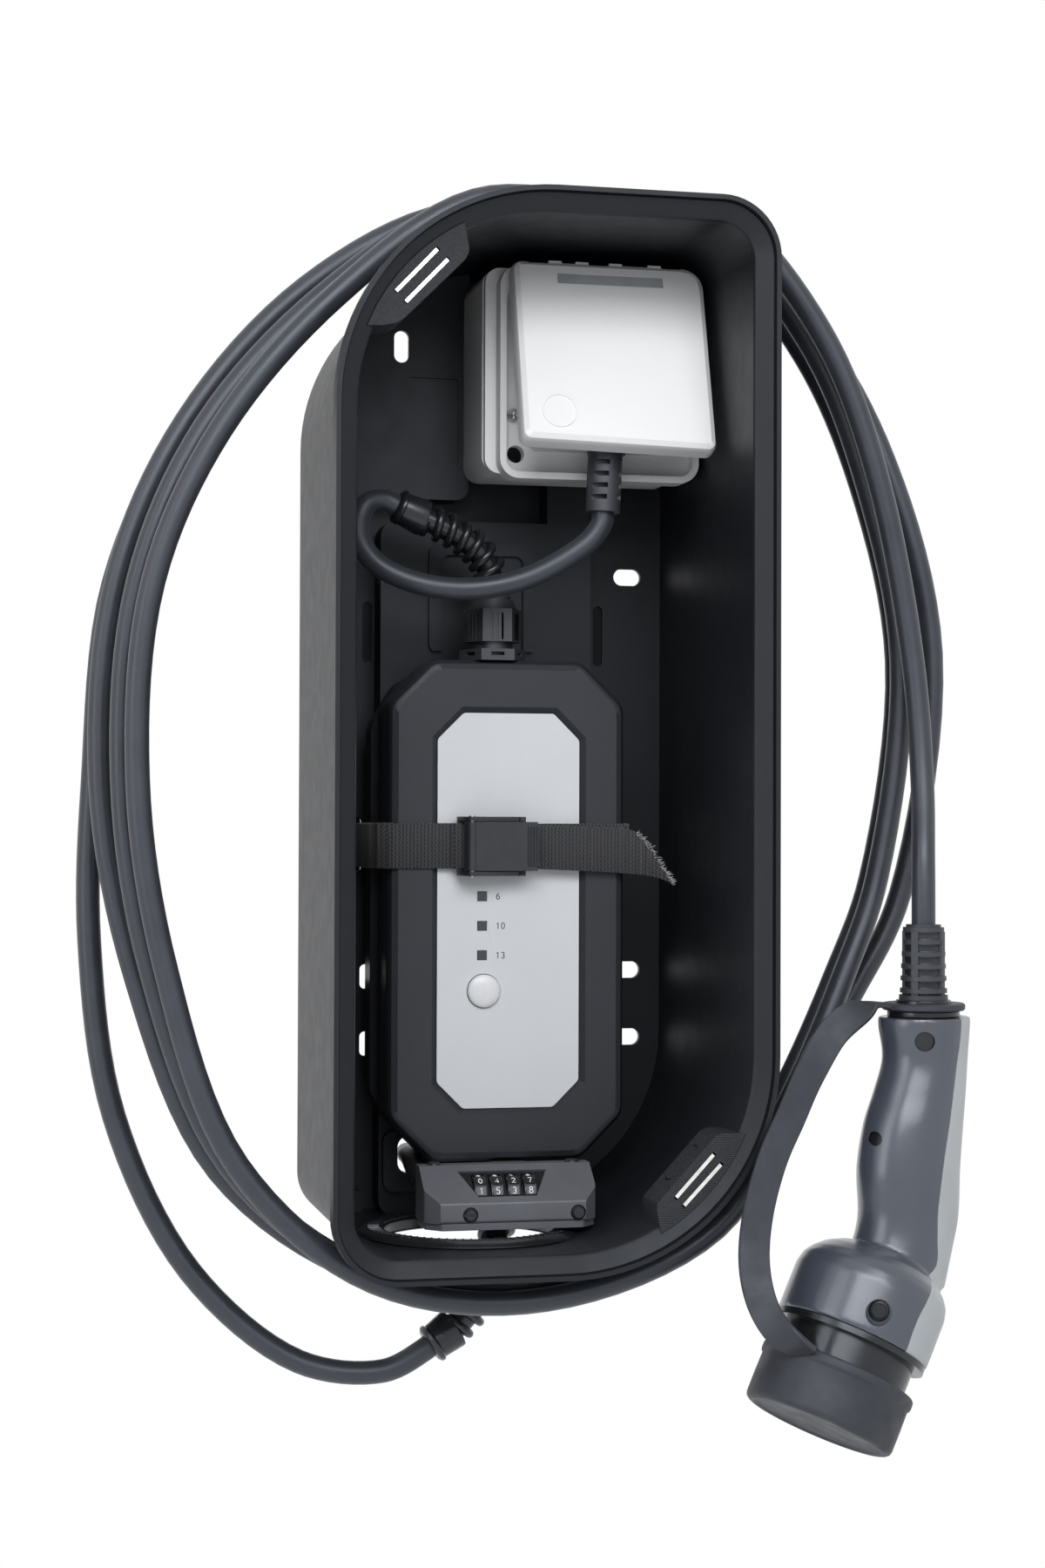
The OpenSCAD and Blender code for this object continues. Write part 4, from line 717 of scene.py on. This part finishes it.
# (distance along the nose, radius) of the dust cap, from its inside over the lip to the middle of its end
CAP = ((-36.2, 0.01), (-36.2, 29.1), (-14.5, 29.1), (-14.2, 29.5), (-14.2, 32.2), (-14.4, 33.1), (-15, 33.6),
       (-15.8, 33.7), (-17.6, 33.7), (-18.4, 33.5), (-18.8, 33), (-19.4, 32.7), (-28, 32.8), (-37, 32.7),
       (-38.3, 32.3), (-39.1, 31.4), (-39.5, 30.4), (-39.6, 29.4), (-39.4, 28.6), (-38.9, 28.1),
       (-38.6, 27.2), (-38.6, 0.01))
# (x, y, z, direction of the band's width, half width) down the tether
TETHER = ((149, -150, -117.4, 0, 1, 0, 6), (141, -150, -116.6, 0, 1, 0, 6.6),
          (134.2, -151.5, -119.4, -0.5, 0.8, 0.5, 6.8), (121.9, -153, -128.7, -0.7, 0.4, 0.7, 6.8),
          (110.3, -156, -145.9, -0.86, 0, 0.5, 6.8), (100.7, -160, -163.5, -0.89, 0, 0.44, 6.6),
          (90.8, -165, -181, -0.92, 0, 0.4, 6.6), (82.8, -171, -202, -0.98, 0, 0.2, 6.6),
          (78.8, -178, -221.3, -1, 0, -0.1, 6.6), (80.1, -185, -237.6, -0.93, 0.2, -0.3, 6.4),
          (86.6, -190.6, -249.6, -0.85, 0.4, -0.2, 6.2), (98.4, -192.6, -257.4, -0.72, 0.66, 0.1, 6.2))
TETHER_THICK = 2.6
# (height, radius) round the section of the tether's eye, which sits on the collar at EYE_Z
EYE = ((0.3, 12.1), (0, 12.4), (0, 17.4), (0.6, 18), (2.4, 18), (3, 17.4), (3, 12.4), (2.7, 12.1))
EYE_Z = -119.1
# Sides of the grip's and of the head's rings, and of the eye's
GRIP_SIDES = 56
HEAD_SIDES = 72
EYE_SIDES = 48


def conn(x, y, z):
    """A point of the connector's own frame, given in mm."""
    c, s = math.cos(CONN_TURN), math.sin(CONN_TURN)
    return at(CONN_X + c * x - s * y, CONN_Y + s * x + c * y, z)


def screw_way():
    """The way out of the screws' wells."""
    return (conn(-1, -1, 0) - conn(0, 0, 0)).normalized()


def head(x, y, z):
    """A point of the connector's head, whose Z runs back from the nose's flange, in mm."""
    c, s = math.cos(NOSE_LEAN), math.sin(NOSE_LEAN)
    return conn(FLANGE_X + c * x + s * z, y, FLANGE_Z - s * x + c * z)


def smooth_rows(rows, steps=6):
    """Rows of numbers on a smooth curve, steps for each stretch between two of them."""
    ends = [rows[0], *rows, rows[-1]]
    out = []
    for a, b, c, d in zip(ends, ends[1:], ends[2:], ends[3:]):
        for i in range(steps):
            t = i / steps
            out.append(tuple(0.5 * (2 * q + (r - p) * t + (2 * p - 5 * q + 4 * r - s) * t * t
                                    + (3 * q - p - 3 * r + s) * t ** 3) for p, q, r, s in zip(a, b, c, d)))
    return out + [tuple(rows[-1])]


def head_lathe(profile):
    """Turned solid round the head's axis; profile lists (distance, radius)."""
    return loft([[head(r * math.cos(a), r * math.sin(a), z) for a in ring_angles(HEAD_SIDES)]
                 for z, r in profile])


def grip_solid(shrink=0.0):
    """The handle down to the head, smaller by shrink on all sides."""
    return loft([[conn(x + (width / 2 - shrink) * math.cos(a), (depth / 2 - shrink) * math.sin(a), z)
                  for a in ring_angles(GRIP_SIDES)] for x, z, width, depth in smooth_rows(GRIP)])


def seam_prism(dx, dz):
    """Tool that holds all of the handle behind the seam, moved by a small gap."""
    edge = smooth_rows(SEAM, 4) + [(-46, -266), (-46, -300), (60, -300), (60, -110)]
    return loose("seam_tool", [loft([[conn(x + dx, y, z + dz) for x, z in edge] for y in (-60, 60)])])


def add_handle():
    """Grip and head blended into one skin and cut along the seam into the body and its pale back."""
    whole = loose("connector_shell", [grip_solid()])
    merge(whole, [loose("head_tool", [head_lathe(HEAD)])], "UNION")
    melt(whole, voxel=0.9, rounds=5)
    spine = whole.copy()
    spine.data = whole.data.copy()
    spine.name = "connector_back"
    bpy.context.scene.collection.objects.link(spine)
    wells = [loose("well", [lathe(((-4.5, r), (12, r)), conn(x, y, z), screw_way(), 32)])
             for x, y, z, r in CONN_SCREWS]
    merge(whole, [seam_prism(0, 0), *wells], "DIFFERENCE")
    merge(spine, [seam_prism(0.55, 0.1)], "INTERSECT")
    finish_piece(whole, "connector_slate", ("connector_body",))
    finish_piece(spine, "connector_light", ("connector_spine",))
    add_mesh("connector_core", [grip_solid(1.2)], "nose_black")


def band_ring(centre, across, through, half_w, half_t, edge):
    """Rectangle with cut corners round a point, its sizes in mm."""
    corners = ((-half_w, -half_t + edge), (-half_w, half_t - edge), (-half_w + edge, half_t),
               (half_w - edge, half_t), (half_w, half_t - edge), (half_w, -half_t + edge),
               (half_w - edge, -half_t), (-half_w + edge, -half_t))
    return [centre + (across * u + through * v) * MM for u, v in corners]


def add_cap():
    """Dust cap, and its tether up to the eye on the collar."""
    rows = smooth_rows(TETHER, 8)
    points = [at(*row[:3]) for row in rows]
    rings = []
    for i, row in enumerate(rows):
        along = (points[min(i + 1, len(points) - 1)] - points[max(i - 1, 0)]).normalized()
        across = Vector(row[3:6])
        across = (across - along * across.dot(along)).normalized()
        rings.append(band_ring(points[i], across, along.cross(across), row[6], TETHER_THICK / 2, 0.5))
    eye = [[at(CONN_X + r * math.cos(a), CONN_Y + r * math.sin(a), EYE_Z + z) for a in ring_angles(EYE_SIDES)]
           for z, r in EYE]
    add_mesh("cap_and_tether", [head_lathe(CAP), loft(rings), loft(eye, loop=True)], "cap_rubber",
             replaces=("dust_cap",), sharp=40)


add_handle()
add_cap()


# Strap
# Upper and lower edge of the band
STRAP_TOP = -38.6
STRAP_BOTTOM = -59
# Middle of the band round the housing, (x, y)
STRAP_LOOP = ((-62, -1), (-62, -14), (-62, -27), (-62, -40), (-60.7, -55.6), (-59, -60.6), (-56.7, -65),
              (-53.4, -66.85), (-30, -66.9), (0, -66.9), (30, -66.9), (48.6, -66.85), (51.9, -65),
              (54.2, -60.6), (55.9, -55.6), (57.1, -40), (57.1, -27), (57.1, -14), (57.1, -1))
# Second layer through the buckle and the loose end, (x, y, top, bottom)
STRAP_END = ((-28.7, -68.1, STRAP_TOP, STRAP_BOTTOM), (-27.8, -69.5, STRAP_TOP, STRAP_BOTTOM),
             (-25.8, -70.2, STRAP_TOP, STRAP_BOTTOM), (-8, -70.2, STRAP_TOP, STRAP_BOTTOM),
             (5, -70.4, -38.8, -59), (12, -70.7, -39.5, -59.2), (35, -70.2, -40.1, -60.2),
             (50, -69.8, -40.7, -61.1), (56, -69.4, -42.2, -61.6), (60.4, -68.8, -45.2, -62),
             (64, -68.5, -50, -62.6), (67.4, -69.1, -55.6, -63.4), (70.6, -70.4, -60.6, -64.6),
             (73.2, -71.4, -64.8, -66))
# Cut edge of the loose end
STRAP_CUT = ((56.4, -69.4, -42.4), (60.4, -68.8, -45.2), (64, -68.5, -50), (67.4, -69.1, -55.6),
             (70.6, -70.4, -60.6), (73.4, -71.4, -65.2))
FIBRES = 150
# Step of the webbing's ribs, how far they stand out, and half the webbing's thickness
RIB_STEP = 1.2
RIB_HEIGHT = 0.12
HALF_WEB = 0.68


def ribbed_band(rows):
    """Webbing along rows of (x, y, top, bottom) in mm, with ribs across it."""
    fine = [rows[0]]
    for a, b in zip(rows, rows[1:]):
        length = math.hypot(b[0] - a[0], b[1] - a[1])
        count = max(1, round(length / 0.3))
        fine += [tuple(p + (q - p) * k / count for p, q in zip(a, b)) for k in range(1, count + 1)]
    rings = []
    run = 0.0
    for i, (x, y, top, bottom) in enumerate(fine):
        back, ahead = fine[max(i - 1, 0)], fine[min(i + 1, len(fine) - 1)]
        along = Vector((ahead[0] - back[0], ahead[1] - back[1], 0)).normalized()
        through = along.cross(Vector((0, 0, 1)))
        run += math.hypot(x - back[0], y - back[1])
        rib = RIB_HEIGHT * math.cos(2 * math.pi * run / RIB_STEP)
        half = max((top - bottom) / 2, 0.3)
        rings.append(band_ring(at(x, y, (top + bottom) / 2), Vector((0, 0, 1)), through, half + rib,
                               HALF_WEB + rib, 0.35))
    return loft(rings)


def frayed_edge():
    """Loose fibres along the cut end of the strap."""
    chance = random.Random(4)
    parts = []
    for _ in range(FIBRES):
        place = chance.random() * (len(STRAP_CUT) - 1) * 0.999
        k = int(place)
        start = Vector(STRAP_CUT[k]).lerp(Vector(STRAP_CUT[k + 1]), place - k)
        start += Vector((-0.8, chance.uniform(-0.5, 0.5), -0.4))
        way = Vector((chance.uniform(0.3, 1), chance.uniform(-0.5, 0.35), chance.uniform(-0.5, 0.7)))
        way.normalize()
        bend = Vector((chance.uniform(-0.5, 0.5), chance.uniform(-0.5, 0.5), chance.uniform(-0.9, 0.1)))
        length = chance.uniform(1.2, 3.4)
        points = [at(*(start + way * length * t + bend * length * t * t * 0.4)) for t in (0, 0.35, 0.7, 1)]
        parts.append(sweep(points, [0.16 * MM, 0.15 * MM, 0.12 * MM, 0.06 * MM], 4))
    return parts


def add_strap():
    """Band round the housing, its run through the back channel, and its loose end."""
    loop = [(x, y, STRAP_TOP, STRAP_BOTTOM) for x, y in smooth_rows(STRAP_LOOP, 4)]
    back = [(x, -1, STRAP_TOP, STRAP_BOTTOM) for x in range(57, -63, -4)]
    add_mesh("strap_band", [ribbed_band(loop), ribbed_band(back), ribbed_band(smooth_rows(STRAP_END, 4))],
             "webbing_black", replaces=("strap",), sharp=60)
    add_mesh("strap_fray", frayed_edge(), "webbing_black", finish="fray_grey")


add_strap()


# Figures
def arc(cx, cy, rx, ry, start, stop, count=9):
    """Points along part of an ellipse, its angles in degrees."""
    return [(cx + rx * math.cos(a), cy + ry * math.sin(a))
            for a in (math.radians(start + (stop - start) * k / count) for k in range(count + 1))]


# Strokes of each digit in a field 1 wide and 1.6 high
DIGITS = {
    "0": (arc(0.5, 0.8, 0.4, 0.74, 0, 360, 20),),
    "1": ([(0.2, 1.25), (0.55, 1.55), (0.55, 0.05)],),
    "2": (arc(0.5, 1.14, 0.4, 0.4, 165, -30) + [(0.1, 0.05), (0.92, 0.05)],),
    "3": (arc(0.48, 1.16, 0.36, 0.38, 150, -90) + arc(0.46, 0.42, 0.42, 0.38, 90, -150),),
    "4": ([(0.7, 0.05), (0.7, 1.55), (0.08, 0.5), (0.95, 0.5)],),
    "5": ([(0.85, 1.55), (0.22, 1.55), (0.15, 0.88)] + arc(0.46, 0.5, 0.42, 0.46, 130, -150),),
    "6": ([(0.78, 1.52), (0.4, 1.3), (0.14, 0.85)] + arc(0.5, 0.48, 0.4, 0.44, 180, 540, 16),),
    "7": ([(0.08, 1.55), (0.92, 1.55), (0.38, 0.05)],),
    "8": (arc(0.5, 1.18, 0.34, 0.36, 0, 360, 16), arc(0.5, 0.42, 0.4, 0.4, 0, 360, 16)),
    "9": (arc(0.5, 1.1, 0.4, 0.44, 0, 360, 16) + [(0.86, 0.8), (0.64, 0.32), (0.3, 0.06)],),
}


# Middle of the first dial, the step to the next, and the radius that the figures stand on
DIAL_X = -22.6
DIAL_Y = -98.6
DIAL_Z = -201.3
DIAL_STEP = 7.4
DIAL_R = 7.96
# Angle of each dial's first figure, and the figures that it starts with
DIAL_FIRST = 216
DIAL_CODE = (0, 4, 2, 7)
# Figures of the three indicators, with the height of their lower edge
CURRENTS = (("6", -73), ("10", -86.4), ("13", -99.7))


def figure_parts(figures, corner, right, up, height, line):
    """Raised figures; corner is the lower left in metres, height and line width are in mm."""
    unit = height / 1.6 * MM
    parts = []
    for i, figure in enumerate(figures):
        for stroke in DIGITS[figure]:
            points = [corner + right * (x + 1.3 * i) * unit + up * y * unit for x, y in stroke]
            parts.append(sweep(points, line / 2 * MM, 6))
    return parts


def add_figures():
    """Figures beside the indicators, and round each dial of the lock."""
    right, up = Vector((1, 0, 0)), Vector((0, 0, 1))
    parts = []
    for figures, z in CURRENTS:
        parts += figure_parts(figures, at(-7.6, -64.14, z), right, up, height=2.9, line=0.42)
    add_mesh("label_figures", parts, "led_grey", finish="figure_grey")
    for k, body in enumerate(("first_dial", "second_dial", "third_dial", "fourth_dial")):
        parts = []
        for i in range(10):
            turn = math.radians(DIAL_FIRST + 36 * i)
            out = Vector((0, math.sin(turn), -math.cos(turn)))
            rise = Vector((0, out.z, -out.y))
            middle = at(DIAL_X + DIAL_STEP * k, DIAL_Y, DIAL_Z) + out * DIAL_R * MM
            corner = middle - right * 0.95 * MM - rise * 1.5 * MM
            figure = str((i + DIAL_CODE[k]) % 10)
            parts += figure_parts(figure, corner, right, rise, height=3.0, line=0.5)
        add_mesh("dial_figures_%d" % (k + 1), parts, "dial_white", body=body, finish="figure_white")


add_figures()


# Button, screws coloured with painted shade, sheet of painted shade on the floor of the lock's pocket, strips
# of painted shade in the slots
# Middle of the button's rim, and the radius and height of its dome
BUTTON_PLACE = at(-13.2, -66, -114.4)
DOME_R = 7.5
DOME_HEIGHT = 2.1
DOME_STEPS = 12
# Middle of the lock's pocket, the way along its floor and the way out of it
POCKET_MIDDLE = at(-11.5, DIAL_Y, DIAL_Z)
POCKET_ALONG = Vector((0, 0.7965, 0.6046))
POCKET_OUT = Vector((0, -0.6046, 0.7965))
# Half the width of the bars between the pocket's windows, and half their length
BAR_X = 0.65
BAR_Y = 6.95
# Slots in the back wall: their end radius, the two long ones, and the strap's
SLOT_R = 2.25
SLOTS_X = (-57.2, 55)
SLOT_TOP = 63.7
SLOT_BOTTOM = 39.3
STRAP_SLOT_X = -62
STRAP_SLOT_Z = -48.7


def add_button():
    """Domed push button, with its collar and stem behind the label."""
    profile = [(-7.2, 0.01), (-7.2, 9.2), (-6.9, 9.4), (-5.7, 9.4), (-5.4, 9.2), (-5.4, 7.45), (-0.8, DOME_R)]
    for k in range(1, DOME_STEPS):
        a = math.pi / 2 * k / DOME_STEPS
        profile.append((-0.8 + DOME_HEIGHT * math.sin(a), DOME_R * math.cos(a)))
    profile.append((1.3, 0.01))
    add_mesh("button_dome", [lathe(profile, BUTTON_PLACE, (0, -1, 0), 72),
                             lathe(((-31, 1.7), (-7, 1.7)), BUTTON_PLACE, (0, -1, 0), 24)],
             "button_silver", body="charger_button", replaces=("press_button",), sharp=50)


def add_screws():
    """Screws deep in the handle's wells, each with a hollow in its head, near-black as painted shade of the
    deep wells.
    """
    parts = []
    for x, y, z, r in CONN_SCREWS:
        profile = ((-6.5, 1.4), (-4.6, 1.4), (-4.5, r - 1.4), (-4.0, r - 1.0), (-3.7, r - 1.6),
                   (-3.6, r - 2.3), (-3.9, r - 2.5), (-4.0, 0.3))
        parts.append(lathe(profile, conn(x, y, z), screw_way(), 32))
    # The black nose material on the screws is painted shade of the wells
    add_mesh("connector_screw_heads", parts, "nose_black", replaces=("connector_screws",), sharp=35)


def add_dial_pocket_shade():
    """Dark sheet of painted shade on the floor of the lock's pocket, open at its four windows."""
    outlines = [[(-19.3, 6.9), (19.3, 6.9), (19.7, 7.85), (-19.7, 7.85)],
                [(-12.8, -7.85), (12.8, -7.85), (13.2, -6.9), (-13.2, -6.9)],
                [(-19.3, 6.9), (-14.15, -5), (-14.15, 6.9)], [(14.15, -5), (19.3, 6.9), (14.15, 6.9)]]
    for x in (-DIAL_STEP, 0, DIAL_STEP):
        outlines.append([(x - BAR_X, -BAR_Y), (x + BAR_X, -BAR_Y), (x + BAR_X, BAR_Y), (x - BAR_X, BAR_Y)])
    parts = [loft([[POCKET_MIDDLE + (Vector((x, 0, 0)) + POCKET_ALONG * y + POCKET_OUT * z) * MM
                    for x, y in outline] for z in (5.15, 5.4)]) for outline in outlines]
    # Painted shade: a near-black sheet where the deep pocket is shaded
    add_mesh("dial_pocket_shade", parts, "relief_black", sharp=30)


def add_slot_shade_strips():
    """Dark strips of painted shade in the two long slots and round the strap, where no background shows
    through.
    """
    half = arc(0, 0, SLOT_R, SLOT_R, 0, 180, 16)
    outlines = [[(x + a, SLOT_TOP + b) for a, b in half] + [(x - a, SLOT_BOTTOM - b) for a, b in half]
                for x in SLOTS_X]
    for end in (1, -1):
        edge = STRAP_SLOT_Z + end * 10.15
        outlines.append([(STRAP_SLOT_X + a, STRAP_SLOT_Z + end * (10.7 + b)) for a, b in half]
                        + [(STRAP_SLOT_X - SLOT_R, edge), (STRAP_SLOT_X + SLOT_R, edge)])
    parts = [loft([[at(x, y, z) for x, z in outline] for y in (-1.6, -0.4)]) for outline in outlines]
    # Near-black sheets of painted shade that close these openings
    add_mesh("slot_shade_strips", parts, "charger_rear", sharp=30)


add_slot_shade_strips()
add_button()
add_screws()
add_dial_pocket_shade()

# Rounded edges of the CAD parts, each with its width in mm
EDGES = (("corner_insert_top", 0.4), ("corner_insert_bottom", 0.4), ("socket_box", 1.0),
         ("socket_frame", 0.7), ("socket_lid", 0.6), ("mains_plug", 1.0), ("inlet_gland", 0.4),
         ("rear_housing", 0.8),
         ("front_housing", 0.8), ("label_plate", 0.2), ("led_windows", 0.2), ("outlet_gland", 0.4),
         ("buckle_frame", 0.5), ("buckle_lever", 0.7), ("lock_body", 0.6), ("lock_base", 0.5),
         ("dial_1", 0.25), ("dial_2", 0.25), ("dial_3", 0.25), ("dial_4", 0.25), ("release_button", 0.4),
         ("set_knob", 0.4), ("lock_rivets", 0.3), ("connector_nose", 0.5), ("connector_boot", 0.3),
         ("connector_collar", 0.6))
soften("shell", 0.7, segments=3, angle=18.0, sharp=46.0)
for part_name, edge_width in EDGES:
    soften(part_name, edge_width)


def declare_cable():
    """Works out the charging cable's path again, which nothing uses."""
    path = smooth_path(cable_route())


declare_cable()


# Studio
WHITE = (1, 1, 1, 1)
AMBIENT = 0.5
# Height of the floor, half its width, how far it runs behind the wall, and the strength of its own light
FLOOR_Z = -0.8
FLOOR_HALF = 2.4
FLOOR_BACK = 1.1
FLOOR_LIFT = 0.4
# Each lamp's name, place, target, width and height in metres, and power in watts
LAMPS = (("left_box", (-1.7, -1.1, 0.5), (0.0, -0.08, 0.0), 0.8, 1.8, 11),
         ("front_box", (-0.2, -2.2, 1.1), (0.0, -0.08, 0.0), 2.0, 1.0, 25),
         ("top_box", (-0.1, -1.15, 0.8), (0.0, -0.08, 0.1), 1.1, 0.4, 5.2))


def background_rays(tree):
    """1 for the rays that show the background: those of the camera, of gloss and of glass."""
    rays = tree.nodes.new("ShaderNodeLightPath")
    seen = rays.outputs["Is Camera Ray"]
    for ray in ("Is Glossy Ray", "Is Transmission Ray"):
        either = tree.nodes.new("ShaderNodeMath")
        either.operation = "MAXIMUM"
        tree.links.new(seen, either.inputs[0])
        tree.links.new(rays.outputs[ray], either.inputs[1])
        seen = either.outputs[0]
    return seen


def add_floor():
    """Pale floor that keeps the shadow; it ends below the picture's lower edge."""
    mat, tree, shader = new_material("floor_pale", 0.9)
    shader.inputs["Base Color"].default_value = (0.82, 0.82, 0.82, 1)
    shader.inputs["Emission Color"].default_value = WHITE
    lift = tree.nodes.new("ShaderNodeMath")
    lift.operation = "MULTIPLY"
    lift.inputs[1].default_value = FLOOR_LIFT
    tree.links.new(background_rays(tree), lift.inputs[0])
    tree.links.new(lift.outputs[0], shader.inputs["Emission Strength"])
    corners = [(-FLOOR_HALF, -FLOOR_HALF, FLOOR_Z), (FLOOR_HALF, -FLOOR_HALF, FLOOR_Z),
               (FLOOR_HALF, FLOOR_BACK, FLOOR_Z), (-FLOOR_HALF, FLOOR_BACK, FLOOR_Z)]
    data = bpy.data.meshes.new("floor")
    data.from_pydata(corners, [], [(0, 1, 2, 3)])
    data.materials.append(mat)
    floor = bpy.data.objects.new("floor", data)
    bpy.context.scene.collection.objects.link(floor)


def add_softbox(name, place, target, width, height, power):
    """Rectangular lamp that faces its target."""
    data = bpy.data.lights.new(name, "AREA")
    data.shape = "RECTANGLE"
    data.size = width
    data.size_y = height
    data.energy = power
    lamp = bpy.data.objects.new(name, data)
    direction = Vector(target) - Vector(place)
    lamp.matrix_world = Matrix.Translation(place) @ direction.to_track_quat("-Z", "Y").to_matrix().to_4x4()
    bpy.context.scene.collection.objects.link(lamp)


def add_world():
    """Even light on the part, and plain white where the camera sees past it."""
    world = bpy.data.worlds.new("studio")
    bpy.context.scene.world = world
    world.use_nodes = True
    tree = world.node_tree
    soft = tree.nodes["Background"]
    soft.inputs["Color"].default_value = WHITE
    soft.inputs["Strength"].default_value = AMBIENT
    white = tree.nodes.new("ShaderNodeBackground")
    white.inputs["Color"].default_value = WHITE
    white.inputs["Strength"].default_value = 1.0
    blend = tree.nodes.new("ShaderNodeMixShader")
    tree.links.new(background_rays(tree), blend.inputs[0])
    tree.links.new(soft.outputs[0], blend.inputs[1])
    tree.links.new(white.outputs[0], blend.inputs[2])
    tree.links.new(blend.outputs[0], tree.nodes["World Output"].inputs["Surface"])


add_floor()
add_world()
for lamp_values in LAMPS:
    add_softbox(*lamp_values)

bpy.context.scene.view_settings.view_transform = "Standard"
